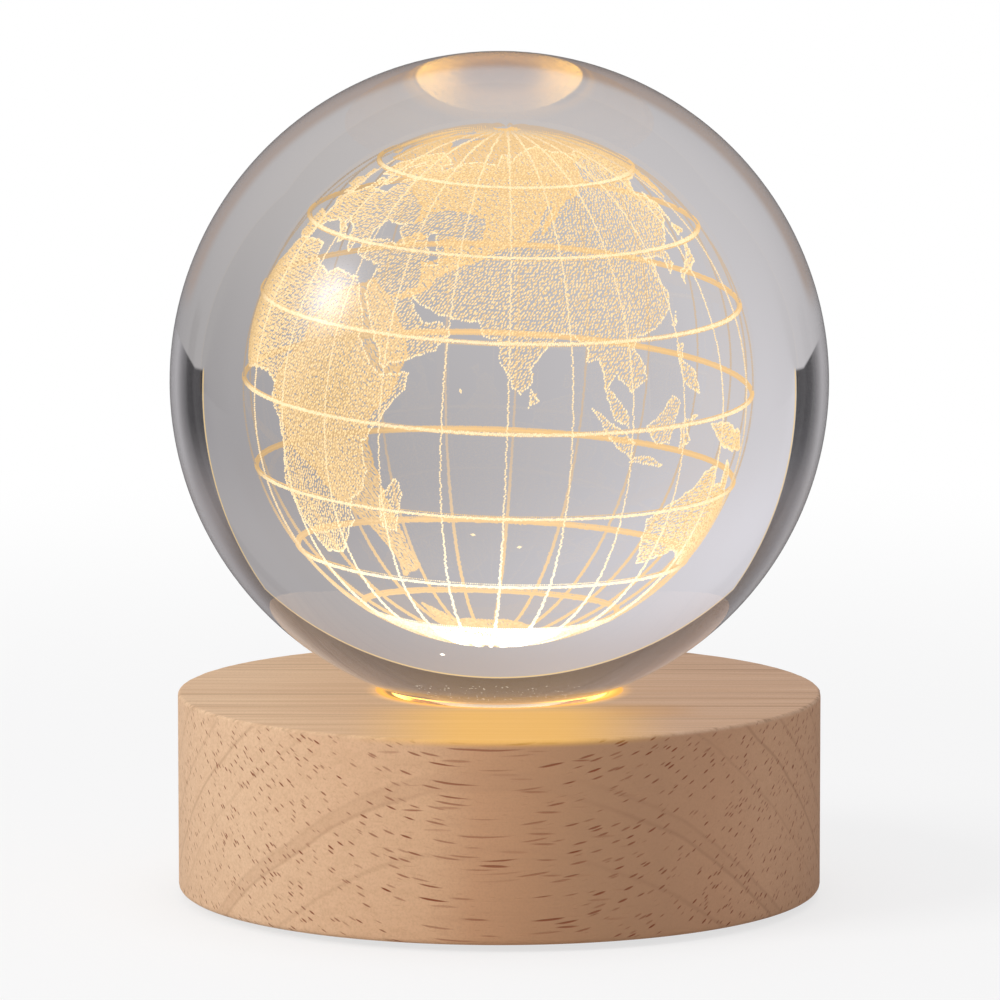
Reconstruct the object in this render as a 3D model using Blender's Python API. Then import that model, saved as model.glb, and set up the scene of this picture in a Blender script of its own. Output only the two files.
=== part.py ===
"""Night light: a clear engraved glass ball that rests on a round wooden light base.

Metres, +Z up, the front toward -Y. The origin is on the table under the middle of the base.
"""
import math

import bmesh
import bpy
from mathutils import Matrix, Vector

# Glass ball
BALL_RADIUS = 0.0400
BALL_SEGMENTS = 44
BALL_RINGS = 22

# Globe engraved inside the ball: fine channels along its meridians and parallels, with one vent
GLOBE_RADIUS = 0.0202
GLOBE_LINE_WIDTH = 0.00045
GLOBE_LINE_DEPTH = 0.0004
GLOBE_MERIDIANS = 24
GLOBE_PARALLELS = 7
GLOBE_PARALLEL_STEP = math.radians(20)
GLOBE_TILT = math.radians(5.4)
GLOBE_ROLL = math.radians(2.0)
GLOBE_VENT_RADIUS = 0.0003
GLOBE_VENT_SEGMENTS = 8

# Play between touching pieces, overrun of every cut and the distance at which points are one
FIT_GAP = 0.0003
OVERRUN = 0.0010
MERGE_DISTANCE = 0.000001

# Wooden block, turned outside
BASE_RADIUS = 0.03925
BASE_HEIGHT = 0.0242
TOP_EDGE_ROUND = 0.0009
BOTTOM_EDGE_CHAMFER = 0.0007
BASE_SEGMENTS = 64
SEAT_STEPS = 5
EDGE_STEPS = 3

# Rounded seat that the ball touches, and the light well under it
SEAT_RADIUS = 0.0126
SEAT_ROUND = 0.0080
SEAT_LIP = 0.0006
WELL_DEPTH = 0.0066

# Hollow milled into the block from below
SHOULDER_WIDTH = 0.0040
CHAMBER_DEPTH = 0.0046
WALL_THICKNESS = 0.0070
LEDGE_WIDTH = 0.0050

# Frosted window and the moulded cup that carries it
WINDOW_THICKNESS = 0.0015
WINDOW_EDGE_CHAMFER = 0.0002
HOLDER_RIM = 0.0010
REFLECTOR_LEDGE = 0.0016
THROAT_PLAY = 0.0010
LUG_THICKNESS = 0.0018
LUG_MARGIN = 0.0012
HOOK_WIDTH = 0.0030
HOOK_THICKNESS = 0.0012
HOOK_CATCH = 0.0007
HOOK_LIP_HEIGHT = 0.0009
HOOK_ROOT = 0.0008
HOOK_MARGIN = 0.0006
HOLDER_SEGMENTS = 48
LUG_COUNT = 3

# Round board with the light diodes and their resistors
LED_BOARD_THICKNESS = 0.0012
LED_COUNT = 6
LED_RING_RADIUS = 0.0062
LED_WIDTH = 0.0035
LED_DEPTH = 0.0028
LED_HEIGHT = 0.0010
LED_CORNER_CUT = 0.0006
LED_LENS_RADIUS = 0.0011
LED_LENS_SINK = 0.0003
LED_LENS_SEGMENTS = 12
RESISTOR_COUNT = 3
RESISTOR_RING_RADIUS = 0.0022
RESISTOR_LENGTH = 0.0032
RESISTOR_WIDTH = 0.0016
RESISTOR_HEIGHT = 0.0006
RESISTOR_CAP_LENGTH = 0.0005
RESISTOR_CAP_RISE = 0.0001

# Screws: the cup's and the socket board's have pan heads, the cover's are countersunk
HOLDER_SCREW_HEAD_RADIUS = 0.0020
HOLDER_SCREW_HEAD_HEIGHT = 0.0014
HOLDER_SCREW_SHANK_RADIUS = 0.0010
HOLDER_SCREW_LENGTH = 0.0062
PORT_SCREW_HEAD_RADIUS = 0.0014
PORT_SCREW_HEAD_HEIGHT = 0.0010
PORT_SCREW_SHANK_RADIUS = 0.0007
COVER_SCREW_HEAD_RADIUS = 0.0020
COVER_SCREW_HEAD_DEPTH = 0.0010
COVER_SCREW_SHANK_RADIUS = 0.0011
COVER_SCREW_LENGTH = 0.0080
SCREW_SEGMENTS = 16
HEAD_DOME_SHARE = 0.55
HEAD_CROWN_SHARE = 0.35
POINT_SHARE = 0.45

# Bottom cover and its feet
COVER_THICKNESS = 0.0020
COVER_EDGE_CHAMFER = 0.0003
SPIGOT_WIDTH = 0.0015
SPIGOT_HEIGHT = 0.0012
FOOT_COUNT = 4
FOOT_RADIUS = 0.0042
FOOT_THICKNESS = 0.0015
FOOT_STAND = 0.0008
FOOT_EDGE_ROUND = 0.0004
FOOT_INSET = 0.0086
FOOT_SEGMENTS = 20
COVER_SEGMENTS = 64

# Power socket in the rear wall, the board under it and the insert that carries both
SHELL_WIDTH = 0.00894
SHELL_HEIGHT = 0.00326
SHELL_LENGTH = 0.00735
SHELL_WALL = 0.0003
SHELL_SET_BACK = 0.0002
SHELL_LEG_THICKNESS = 0.0003
SHELL_LEG_LENGTH = 0.0011
SHELL_LEG_SPACING = 0.0019
TONGUE_WIDTH = 0.0067
TONGUE_THICKNESS = 0.0007
TONGUE_SET_BACK = 0.0006
TONGUE_BLOCK_LENGTH = 0.0016
PORT_BOARD_WIDTH = 0.0120
PORT_BOARD_LENGTH = 0.0108
PORT_BOARD_THICKNESS = 0.0010
PORT_BOARD_CORNER = 0.0006
PORT_SCREW_INSET = 0.0019
FLANGE_THICKNESS = 0.0016
FLANGE_MARGIN = 0.0008
FLANGE_CORNER = 0.0020
FLANGE_EDGE_CHAMFER = 0.0003
COLLAR_THICKNESS = 0.0012
COLLAR_WALL = 0.0010
COLLAR_CORNER = 0.0008
TRAY_THICKNESS = 0.0012
TRAY_WALL = 0.0010
PORT_LIFT = 0.0008
CORNER_STEPS = 4

# Inner wires from the socket's board to the light board
LEAD_RADIUS = 0.0006
LEAD_PAD_SPACING = 0.0036
LEAD_PAD_INSET = 0.0012
LEAD_EXIT_RADIUS = 0.0082
LEAD_BULGE = 0.0068
LEAD_STEP_DIAMETERS = 2.0
LEAD_STEPS_PER_SPAN = 24
LEAD_BEVEL_RESOLUTION = 2

# Route of a wire, as shares: out toward the side, from the socket's end to the far end, and up from
# the cover's top to the light board
LEAD_ROUTE_SHARES = (
    (0.00, 0.06, 0.72),
    (0.12, 0.15, 0.62),
    (0.46, 0.27, 0.46),
    (0.84, 0.40, 0.36),
    (1.00, 0.55, 0.31),
    (0.80, 0.69, 0.29),
    (0.40, 0.81, 0.28),
    (0.08, 0.92, 0.30),
    (0.00, 0.976, 0.48),
)

# Heights and radii that follow from the sizes above
GLOBE_OUTER_RADIUS = GLOBE_RADIUS + GLOBE_LINE_DEPTH / 2
POLAR_CAP_ANGLE = (math.pi - GLOBE_PARALLEL_STEP * (GLOBE_PARALLELS - 1)) / 2
POLAR_CAP_RADIUS = GLOBE_LINE_WIDTH / 2 / math.sin(math.pi / GLOBE_MERIDIANS)
GLOBE_VENT_TOP = GLOBE_RADIUS - POLAR_CAP_RADIUS * math.tan(POLAR_CAP_ANGLE / 2)

WOOD_BOTTOM = FOOT_STAND
WOOD_TOP = WOOD_BOTTOM + BASE_HEIGHT
SHOULDER_Z = WOOD_TOP - WELL_DEPTH
CEILING_Z = SHOULDER_Z - CHAMBER_DEPTH
RECESS_Z = WOOD_BOTTOM + COVER_THICKNESS + FIT_GAP
COVER_TOP = WOOD_BOTTOM + COVER_THICKNESS
BORE_RADIUS = SEAT_RADIUS - SEAT_LIP
CHAMBER_RADIUS = BORE_RADIUS + SHOULDER_WIDTH
RECESS_RADIUS = BASE_RADIUS - WALL_THICKNESS
CAVITY_RADIUS = RECESS_RADIUS - LEDGE_WIDTH

SEAT_ANGLE = math.asin(SEAT_RADIUS / BALL_RADIUS)
SEAT_REACH = BALL_RADIUS + FIT_GAP + SEAT_ROUND
SEAT_ROUND_CENTRE_RADIUS = SEAT_REACH * math.sin(SEAT_ANGLE)
SEAT_ROUND_CENTRE_Z = WOOD_TOP - SEAT_ROUND
BALL_Z = SEAT_ROUND_CENTRE_Z + SEAT_REACH * math.cos(SEAT_ANGLE)

HOLDER_RADIUS = CHAMBER_RADIUS - FIT_GAP
HOLDER_TOP = SHOULDER_Z - FIT_GAP
LUG_TOP = CEILING_Z - FIT_GAP
HOLDER_BOTTOM = LUG_TOP - LUG_THICKNESS
WINDOW_RADIUS = HOLDER_RADIUS - HOLDER_RIM - FIT_GAP
WINDOW_BOTTOM = HOLDER_TOP - WINDOW_THICKNESS
LED_BOARD_RADIUS = HOLDER_RADIUS - HOOK_MARGIN - HOOK_THICKNESS - FIT_GAP
LED_BOARD_TOP = HOLDER_BOTTOM - FIT_GAP
LED_BOARD_BOTTOM = LED_BOARD_TOP - LED_BOARD_THICKNESS
HOLDER_SCREW_RING = (CHAMBER_RADIUS + CAVITY_RADIUS) / 2
COVER_SCREW_RING = (CAVITY_RADIUS + RECESS_RADIUS) / 2
COVER_RADIUS = RECESS_RADIUS - FIT_GAP
FOOT_RING = COVER_RADIUS - FOOT_INSET

BODY_WIDTH = PORT_BOARD_WIDTH + 2 * (FIT_GAP + TRAY_WALL)
TRAY_BOTTOM = COVER_TOP + SPIGOT_HEIGHT + PORT_LIFT
PORT_BOARD_BOTTOM = TRAY_BOTTOM + TRAY_THICKNESS + FIT_GAP
PORT_BOARD_TOP = PORT_BOARD_BOTTOM + PORT_BOARD_THICKNESS
PORT_Z = PORT_BOARD_TOP + FIT_GAP + SHELL_HEIGHT / 2
COLLAR_TOP = PORT_Z + SHELL_HEIGHT / 2 + FIT_GAP + COLLAR_WALL
FLANGE_WIDTH = BODY_WIDTH + 2 * (FIT_GAP + FLANGE_MARGIN)
FLANGE_HEIGHT = 2 * (PORT_Z - TRAY_BOTTOM + FIT_GAP + FLANGE_MARGIN)
FLANGE_FACE_Y = math.sqrt(BASE_RADIUS ** 2 - (FLANGE_WIDTH / 2 + FIT_GAP) ** 2)
FLANGE_REAR_Y = FLANGE_FACE_Y - FLANGE_THICKNESS
COLLAR_REAR_Y = FLANGE_REAR_Y - COLLAR_THICKNESS
PORT_BOARD_FRONT_Y = COLLAR_REAR_Y - FIT_GAP
PORT_BOARD_REAR_Y = PORT_BOARD_FRONT_Y - PORT_BOARD_LENGTH
SHELL_MOUTH_Y = FLANGE_FACE_Y - SHELL_SET_BACK
SHELL_REAR_Y = SHELL_MOUTH_Y - SHELL_LENGTH

# Angles round the base: the socket is at the rear, a quarter turn from +X
QUARTER_TURN = math.radians(90)
SCREW_TURNS = [QUARTER_TURN + math.tau * (i + 0.5) / LUG_COUNT for i in range(LUG_COUNT)]
HOOK_TURNS = [QUARTER_TURN + math.tau * i / LUG_COUNT for i in range(LUG_COUNT)]
FOOT_TURNS = [QUARTER_TURN + math.tau * (i + 0.5) / FOOT_COUNT for i in range(FOOT_COUNT)]
SHARP_ANGLE = math.radians(35)


def clear_scene():
    for obj in list(bpy.data.objects):
        bpy.data.objects.remove(obj, do_unlink=True)


def finish(name, color, roughness, metallic=0.0, transmission=0.0):
    """Material with one Principled BSDF."""
    material = bpy.data.materials.new(name)
    material.use_nodes = True
    shader = material.node_tree.nodes["Principled BSDF"]
    shader.inputs["Base Color"].default_value = (*color, 1.0)
    shader.inputs["Roughness"].default_value = roughness
    shader.inputs["Metallic"].default_value = metallic
    shader.inputs["Transmission Weight"].default_value = transmission
    return material


def tidy(bm):
    """Joins points that coincide and turns every face outward."""
    bmesh.ops.remove_doubles(bm, verts=bm.verts, dist=MERGE_DISTANCE)
    bmesh.ops.recalc_face_normals(bm, faces=bm.faces)
    return bm


def turned(profile, segments):
    """Solid of revolution about Z from (radius, height) points: axis to axis, or a closed loop."""
    bm = bmesh.new()
    verts = [bm.verts.new((radius, 0.0, height)) for radius, height in profile]
    ends = verts[1:] if profile[0][0] == 0.0 else verts[1:] + verts[:1]
    edges = [bm.edges.new(pair) for pair in zip(verts, ends)]
    bmesh.ops.spin(bm, geom=verts + edges, cent=(0, 0, 0), axis=(0, 0, 1), angle=math.tau,
                   steps=segments, use_merge=True)
    return tidy(bm)


def extruded(outline, depth):
    """Prism on a flat outline in XY, from height 0 up to the depth."""
    bm = bmesh.new()
    for x, y in outline:
        bm.verts.new((x, y, 0.0))
    bmesh.ops.remove_doubles(bm, verts=bm.verts, dist=MERGE_DISTANCE)
    bm.verts.ensure_lookup_table()
    base = bm.faces.new(list(bm.verts))
    grown = bmesh.ops.extrude_face_region(bm, geom=[base])
    top = [item for item in grown["geom"] if isinstance(item, bmesh.types.BMVert)]
    bmesh.ops.translate(bm, verts=top, vec=(0, 0, depth))
    return tidy(bm)


def arc(centre_x, centre_y, radius, start, end, steps):
    """Points of an arc, both ends included."""
    turns = [start + (end - start) * step / steps for step in range(steps + 1)]
    return [(centre_x + radius * math.cos(t), centre_y + radius * math.sin(t)) for t in turns]


def rounded_outline(width, height, corner):
    """Centred rectangle with round corners, counter-clockwise."""
    points = []
    for quarter, (side_x, side_y) in enumerate(((1, 1), (-1, 1), (-1, -1), (1, -1))):
        start = QUARTER_TURN * quarter
        points += arc(side_x * (width / 2 - corner), side_y * (height / 2 - corner), corner,
                      start, start + QUARTER_TURN, CORNER_STEPS)
    return points


def box(width, depth, height):
    """Box centred on X and Y that stands on height 0."""
    half_width = width / 2
    half_depth = depth / 2
    outline = [(-half_width, -half_depth), (half_width, -half_depth),
               (half_width, half_depth), (-half_width, half_depth)]
    return extruded(outline, height)


def repeated(single, places):
    """One mesh with a copy of the single shape at each place, given as matrices."""
    piece = bpy.data.meshes.new("repeated_shape")
    single.to_mesh(piece)
    single.free()
    bm = bmesh.new()
    for place in places:
        copy = piece.copy()
        copy.transform(place)
        bm.from_mesh(copy)
        bpy.data.meshes.remove(copy)
    bpy.data.meshes.remove(piece)
    return bm


def around(turn, radius, height):
    """Place at an angle round the base, with local +X pointing outward."""
    return Matrix.Rotation(turn, 4, "Z") @ Matrix.Translation((radius, 0.0, height))


def add_object(name, mesh, place):
    obj = bpy.data.objects.new(name, mesh)
    bpy.context.collection.objects.link(obj)
    obj.location = place.to_translation()
    obj.rotation_euler = place.to_euler()
    return obj


def add_part(name, bm, material, parent, place=Matrix.Identity(4)):
    mesh = bpy.data.meshes.new(name)
    bm.to_mesh(mesh)
    bm.free()
    mesh.shade_smooth()
    mesh.set_sharp_from_angle(angle=SHARP_ANGLE)
    mesh.materials.append(material)
    obj = add_object(name, mesh, place)
    obj.parent = parent
    return obj


def add_copies(name, bm, material, parent, places):
    """Like parts that share one mesh, numbered from 1."""
    copies = [add_part(f"{name}_1", bm, material, parent, places[0])]
    for number, place in enumerate(places[1:], start=2):
        obj = add_object(f"{name}_{number}", copies[0].data, place)
        obj.parent = parent
        copies.append(obj)
    return copies


def shape_with(targets, operation, name, bm, place=Matrix.Identity(4)):
    """Boolean of a hidden helper shape on each target."""
    mesh = bpy.data.meshes.new(name)
    bm.to_mesh(mesh)
    bm.free()
    helper = add_object(name, mesh, place)
    helper.parent = targets[0].parent
    helper.hide_render = True
    helper.display_type = "WIRE"
    for target in targets:
        modifier = target.modifiers.new(name, "BOOLEAN")
        modifier.operation = operation
        modifier.object = helper


# The flat outline of a plate's XY stands up in XZ, and its height runs toward +Y, the rear
TO_REAR = Matrix.Rotation(QUARTER_TURN, 4, "X") @ Matrix.Rotation(math.radians(180), 4, "Y")


def facing_rear(y, z):
    return Matrix.Translation((0.0, y, z)) @ TO_REAR


def globe_graticule():
    """Net of strips on a sphere about the origin, one bevelled edge for each line, its poles on Z."""
    outer = GLOBE_OUTER_RADIUS
    latitudes = [POLAR_CAP_ANGLE - QUARTER_TURN + GLOBE_PARALLEL_STEP * i for i in range(GLOBE_PARALLELS)]
    profile = [(outer * math.cos(latitude), outer * math.sin(latitude)) for latitude in latitudes]
    bm = turned([(0.0, -outer)] + profile + [(0.0, outer)], GLOBE_MERIDIANS)
    lines = bmesh.ops.bevel(bm, geom=bm.edges[:], offset=GLOBE_LINE_WIDTH / 2, offset_type="OFFSET",
                            segments=1, profile=0.5, affect="EDGES", clamp_overlap=False, material=-1)
    strips = set(lines["faces"])
    panes = [face for face in bm.faces if face not in strips]
    bmesh.ops.delete(bm, geom=panes, context="FACES")
    grown = bmesh.ops.extrude_face_region(bm, geom=bm.faces[:])
    inner = [item for item in grown["geom"] if isinstance(item, bmesh.types.BMVert)]
    share = (outer - GLOBE_LINE_DEPTH) / outer
    bmesh.ops.scale(bm, verts=inner, vec=(share, share, share))
    return tidy(bm)


def make_ball(material, parent):
    """Glass sphere with the globe engraved inside, its origin at its centre on the lifting axis."""
    bm = bmesh.new()
    bmesh.ops.create_uvsphere(bm, u_segments=BALL_SEGMENTS, v_segments=BALL_RINGS, radius=BALL_RADIUS)
    centre = Matrix.Translation((0.0, 0.0, BALL_Z))
    ball = add_part("glass_ball", bm, material, parent, centre)

    leaning = centre @ Matrix.Rotation(GLOBE_ROLL, 4, "Y") @ Matrix.Rotation(GLOBE_TILT, 4, "X")
    shape_with([ball], "DIFFERENCE", "graticule_cutter", globe_graticule(), leaning)
    vent_end = BALL_RADIUS + OVERRUN
    vent = turned([(0.0, -vent_end), (GLOBE_VENT_RADIUS, -vent_end),
                   (GLOBE_VENT_RADIUS, -GLOBE_VENT_TOP), (0.0, -GLOBE_VENT_TOP)], GLOBE_VENT_SEGMENTS)
    shape_with([ball], "DIFFERENCE", "vent_cutter", vent, leaning)


def pilot_hole(shank_radius, depth):
    """Cylinder that clears a screw's shank, from an overrun below height 0 up to the depth."""
    radius = shank_radius + FIT_GAP
    return turned([(0.0, -OVERRUN), (radius, -OVERRUN), (radius, depth), (0.0, depth)], SCREW_SEGMENTS)


def make_base(material, parent):
    """Turned block with the rounded seat, the light well and the stepped hollow, milled for the socket."""
    lip_turn = math.pi - math.acos((SEAT_ROUND_CENTRE_RADIUS - BORE_RADIUS) / SEAT_ROUND)
    seat = arc(SEAT_ROUND_CENTRE_RADIUS, SEAT_ROUND_CENTRE_Z, SEAT_ROUND, lip_turn, QUARTER_TURN, SEAT_STEPS)
    edge = arc(BASE_RADIUS - TOP_EDGE_ROUND, WOOD_TOP - TOP_EDGE_ROUND, TOP_EDGE_ROUND,
               QUARTER_TURN, 0.0, EDGE_STEPS)
    profile = seat + edge + [
        (BASE_RADIUS, WOOD_BOTTOM + BOTTOM_EDGE_CHAMFER),
        (BASE_RADIUS - BOTTOM_EDGE_CHAMFER, WOOD_BOTTOM),
        (RECESS_RADIUS, WOOD_BOTTOM),
        (RECESS_RADIUS, RECESS_Z),
        (CAVITY_RADIUS, RECESS_Z),
        (CAVITY_RADIUS, CEILING_Z),
        (CHAMBER_RADIUS, CEILING_Z),
        (CHAMBER_RADIUS, SHOULDER_Z),
        (BORE_RADIUS, SHOULDER_Z),
    ]
    base = add_part("wood_base", turned(profile, BASE_SEGMENTS), material, parent)

    pocket_front = FLANGE_REAR_Y - FIT_GAP
    pocket = extruded(rounded_outline(FLANGE_WIDTH + 2 * FIT_GAP, FLANGE_HEIGHT + 2 * FIT_GAP,
                                      FLANGE_CORNER + FIT_GAP), BASE_RADIUS - pocket_front + OVERRUN)
    shape_with([base], "DIFFERENCE", "bezel_pocket_cutter", pocket, facing_rear(pocket_front, PORT_Z))

    tunnel_front = CAVITY_RADIUS * math.cos(math.asin(BODY_WIDTH / 2 / CAVITY_RADIUS)) - OVERRUN
    tunnel = extruded(rounded_outline(BODY_WIDTH + 2 * FIT_GAP, COLLAR_TOP - TRAY_BOTTOM + 2 * FIT_GAP,
                                      COLLAR_CORNER + FIT_GAP), pocket_front - tunnel_front + OVERRUN)
    tunnel_z = (COLLAR_TOP + TRAY_BOTTOM) / 2
    shape_with([base], "DIFFERENCE", "socket_tunnel_cutter", tunnel, facing_rear(tunnel_front, tunnel_z))

    holder_depth = HOLDER_SCREW_LENGTH - LUG_THICKNESS - FIT_GAP
    holder_holes = repeated(pilot_hole(HOLDER_SCREW_SHANK_RADIUS, holder_depth),
                            [around(turn, HOLDER_SCREW_RING, CEILING_Z) for turn in SCREW_TURNS])
    shape_with([base], "DIFFERENCE", "holder_pilot_cutter", holder_holes)
    cover_depth = COVER_SCREW_LENGTH - COVER_THICKNESS
    cover_holes = repeated(pilot_hole(COVER_SCREW_SHANK_RADIUS, cover_depth),
                           [around(turn, COVER_SCREW_RING, RECESS_Z) for turn in SCREW_TURNS])
    shape_with([base], "DIFFERENCE", "cover_pilot_cutter", cover_holes)


def make_window(material, parent):
    """Frosted disc with a fine edge chamfer, in the cup's rebate."""
    inner = WINDOW_RADIUS - WINDOW_EDGE_CHAMFER
    profile = [
        (0.0, 0.0),
        (WINDOW_RADIUS, 0.0),
        (WINDOW_RADIUS, WINDOW_THICKNESS - WINDOW_EDGE_CHAMFER),
        (inner, WINDOW_THICKNESS),
        (0.0, WINDOW_THICKNESS),
    ]
    add_part("light_window", turned(profile, HOLDER_SEGMENTS), material, parent,
             Matrix.Translation((0.0, 0.0, WINDOW_BOTTOM)))


def make_holder(material, parent):
    """Moulded cup: reflector cone, window rebate, three screw lugs and three snap hooks."""
    led_reach = math.hypot(LED_RING_RADIUS + LED_DEPTH / 2, LED_WIDTH / 2)
    throat = led_reach + THROAT_PLAY
    rebate_radius = WINDOW_RADIUS + FIT_GAP
    rebate_floor = WINDOW_BOTTOM - FIT_GAP
    profile = [
        (throat, HOLDER_BOTTOM),
        (HOLDER_RADIUS, HOLDER_BOTTOM),
        (HOLDER_RADIUS, HOLDER_TOP),
        (rebate_radius, HOLDER_TOP),
        (rebate_radius, rebate_floor),
        (WINDOW_RADIUS - REFLECTOR_LEDGE, rebate_floor),
    ]
    holder = add_part("lamp_holder", turned(profile, HOLDER_SEGMENTS), material, parent)

    lug_radius = HOLDER_SCREW_HEAD_RADIUS + LUG_MARGIN
    root = HOLDER_RADIUS - HOLDER_RIM
    lug = [(root, -lug_radius)] + arc(HOLDER_SCREW_RING, 0.0, lug_radius, -QUARTER_TURN,
                                      QUARTER_TURN, 2 * CORNER_STEPS) + [(root, lug_radius)]
    lugs = repeated(extruded(lug, LUG_THICKNESS), [around(turn, 0.0, HOLDER_BOTTOM) for turn in SCREW_TURNS])
    shape_with([holder], "UNION", "lug_form", lugs)
    hole_radius = HOLDER_SCREW_SHANK_RADIUS + FIT_GAP
    hole = turned([(0.0, -OVERRUN), (hole_radius, -OVERRUN), (hole_radius, LUG_THICKNESS + OVERRUN),
                   (0.0, LUG_THICKNESS + OVERRUN)], SCREW_SEGMENTS)
    holes = repeated(hole, [around(turn, HOLDER_SCREW_RING, HOLDER_BOTTOM) for turn in SCREW_TURNS])
    shape_with([holder], "DIFFERENCE", "lug_hole_cutter", holes)

    inner = LED_BOARD_RADIUS + FIT_GAP
    catch_top = LED_BOARD_BOTTOM - FIT_GAP
    catch_bottom = catch_top - HOOK_LIP_HEIGHT
    hook = [
        (inner, HOLDER_BOTTOM + HOOK_ROOT),
        (inner, catch_top),
        (inner - HOOK_CATCH, catch_top),
        (inner, catch_bottom),
        (inner + HOOK_THICKNESS, catch_bottom),
        (inner + HOOK_THICKNESS, HOLDER_BOTTOM + HOOK_ROOT),
    ]
    stand_up = Matrix.Rotation(QUARTER_TURN, 4, "X")
    hooks = repeated(extruded(hook, HOOK_WIDTH),
                     [around(turn, 0.0, 0.0) @ Matrix.Translation((0.0, HOOK_WIDTH / 2, 0.0)) @ stand_up
                      for turn in HOOK_TURNS])
    shape_with([holder], "UNION", "hook_form", hooks)


def make_light_board(board_material, led_material, resistor_material, parent):
    """Round board, the ring of diodes under the cone and the resistors in the middle."""
    profile = [(0.0, 0.0), (LED_BOARD_RADIUS, 0.0), (LED_BOARD_RADIUS, LED_BOARD_THICKNESS),
               (0.0, LED_BOARD_THICKNESS)]
    add_part("led_board", turned(profile, HOLDER_SEGMENTS), board_material, parent,
             Matrix.Translation((0.0, 0.0, LED_BOARD_BOTTOM)))

    across = LED_DEPTH / 2
    along = LED_WIDTH / 2
    outline = [(-across, -along), (across, -along), (across, along - LED_CORNER_CUT),
               (across - LED_CORNER_CUT, along), (-across, along)]
    led = extruded(outline, LED_HEIGHT)
    height = LED_BOARD_TOP + FIT_GAP
    places = [around(i * math.tau / LED_COUNT, LED_RING_RADIUS, height) for i in range(LED_COUNT)]
    leds = add_copies("led", led, led_material, parent, places)
    lens = turned([(0.0, LED_HEIGHT - LED_LENS_SINK), (LED_LENS_RADIUS, LED_HEIGHT - LED_LENS_SINK),
                   (LED_LENS_RADIUS, LED_HEIGHT + OVERRUN), (0.0, LED_HEIGHT + OVERRUN)], LED_LENS_SEGMENTS)
    shape_with(leds, "DIFFERENCE", "led_cup_cutter", repeated(lens, places))

    half = RESISTOR_LENGTH / 2
    body = half - RESISTOR_CAP_LENGTH
    rise = RESISTOR_HEIGHT + RESISTOR_CAP_RISE
    outline = [(-half, 0.0), (half, 0.0), (half, rise), (body, rise), (body, RESISTOR_HEIGHT),
               (-body, RESISTOR_HEIGHT), (-body, rise), (-half, rise)]
    lay = (Matrix.Rotation(QUARTER_TURN, 4, "Z") @ Matrix.Translation((0.0, RESISTOR_WIDTH / 2, 0.0))
           @ Matrix.Rotation(QUARTER_TURN, 4, "X"))
    turns = [math.radians(30) + i * math.tau / RESISTOR_COUNT for i in range(RESISTOR_COUNT)]
    add_copies("resistor", extruded(outline, RESISTOR_WIDTH), resistor_material, parent,
               [around(turn, RESISTOR_RING_RADIUS, height) @ lay for turn in turns])


def pan_screw(head_radius, head_height, shank_radius, length):
    """Screw with its head's top at height 0 and its shank up +Z."""
    crown = head_height * HEAD_CROWN_SHARE
    point = shank_radius * POINT_SHARE
    profile = [
        (0.0, 0.0),
        (head_radius * HEAD_DOME_SHARE, 0.0),
        (head_radius, crown),
        (head_radius, head_height),
        (shank_radius, head_height),
        (shank_radius, head_height + length - shank_radius),
        (point, head_height + length),
        (0.0, head_height + length),
    ]
    return turned(profile, SCREW_SEGMENTS)


def make_holder_screws(material, parent):
    screw = pan_screw(HOLDER_SCREW_HEAD_RADIUS, HOLDER_SCREW_HEAD_HEIGHT, HOLDER_SCREW_SHANK_RADIUS,
                      HOLDER_SCREW_LENGTH - FIT_GAP)
    height = HOLDER_BOTTOM - FIT_GAP - HOLDER_SCREW_HEAD_HEIGHT
    add_copies("holder_screw", screw, material, parent,
               [around(turn, HOLDER_SCREW_RING, height) for turn in SCREW_TURNS])


def make_cover(material, parent):
    """Round cover with a locating rim, countersinks for its screws and recesses for the feet."""
    spigot_outer = CAVITY_RADIUS - FIT_GAP
    spigot_inner = spigot_outer - SPIGOT_WIDTH
    spigot_top = COVER_TOP + SPIGOT_HEIGHT
    profile = [
        (0.0, WOOD_BOTTOM),
        (COVER_RADIUS - COVER_EDGE_CHAMFER, WOOD_BOTTOM),
        (COVER_RADIUS, WOOD_BOTTOM + COVER_EDGE_CHAMFER),
        (COVER_RADIUS, COVER_TOP),
        (spigot_outer, COVER_TOP),
        (spigot_outer, spigot_top),
        (spigot_inner, spigot_top),
        (spigot_inner, COVER_TOP),
        (0.0, COVER_TOP),
    ]
    cover = add_part("bottom_cover", turned(profile, COVER_SEGMENTS), material, parent)

    head = COVER_SCREW_HEAD_RADIUS + FIT_GAP
    shank = COVER_SCREW_SHANK_RADIUS + FIT_GAP
    sink = turned([(0.0, -OVERRUN), (head, -OVERRUN), (head, 0.0), (shank, COVER_SCREW_HEAD_DEPTH),
                   (shank, COVER_THICKNESS + OVERRUN), (0.0, COVER_THICKNESS + OVERRUN)], SCREW_SEGMENTS)
    sinks = repeated(sink, [around(turn, COVER_SCREW_RING, WOOD_BOTTOM) for turn in SCREW_TURNS])
    shape_with([cover], "DIFFERENCE", "countersink_cutter", sinks)

    recess_radius = FOOT_RADIUS + FIT_GAP
    recess_top = FOOT_THICKNESS - FOOT_STAND + FIT_GAP
    recess = turned([(0.0, -OVERRUN), (recess_radius, -OVERRUN), (recess_radius, recess_top),
                     (0.0, recess_top)], FOOT_SEGMENTS)
    recesses = repeated(recess, [around(turn, FOOT_RING, WOOD_BOTTOM) for turn in FOOT_TURNS])
    shape_with([cover], "DIFFERENCE", "foot_recess_cutter", recesses)


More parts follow.
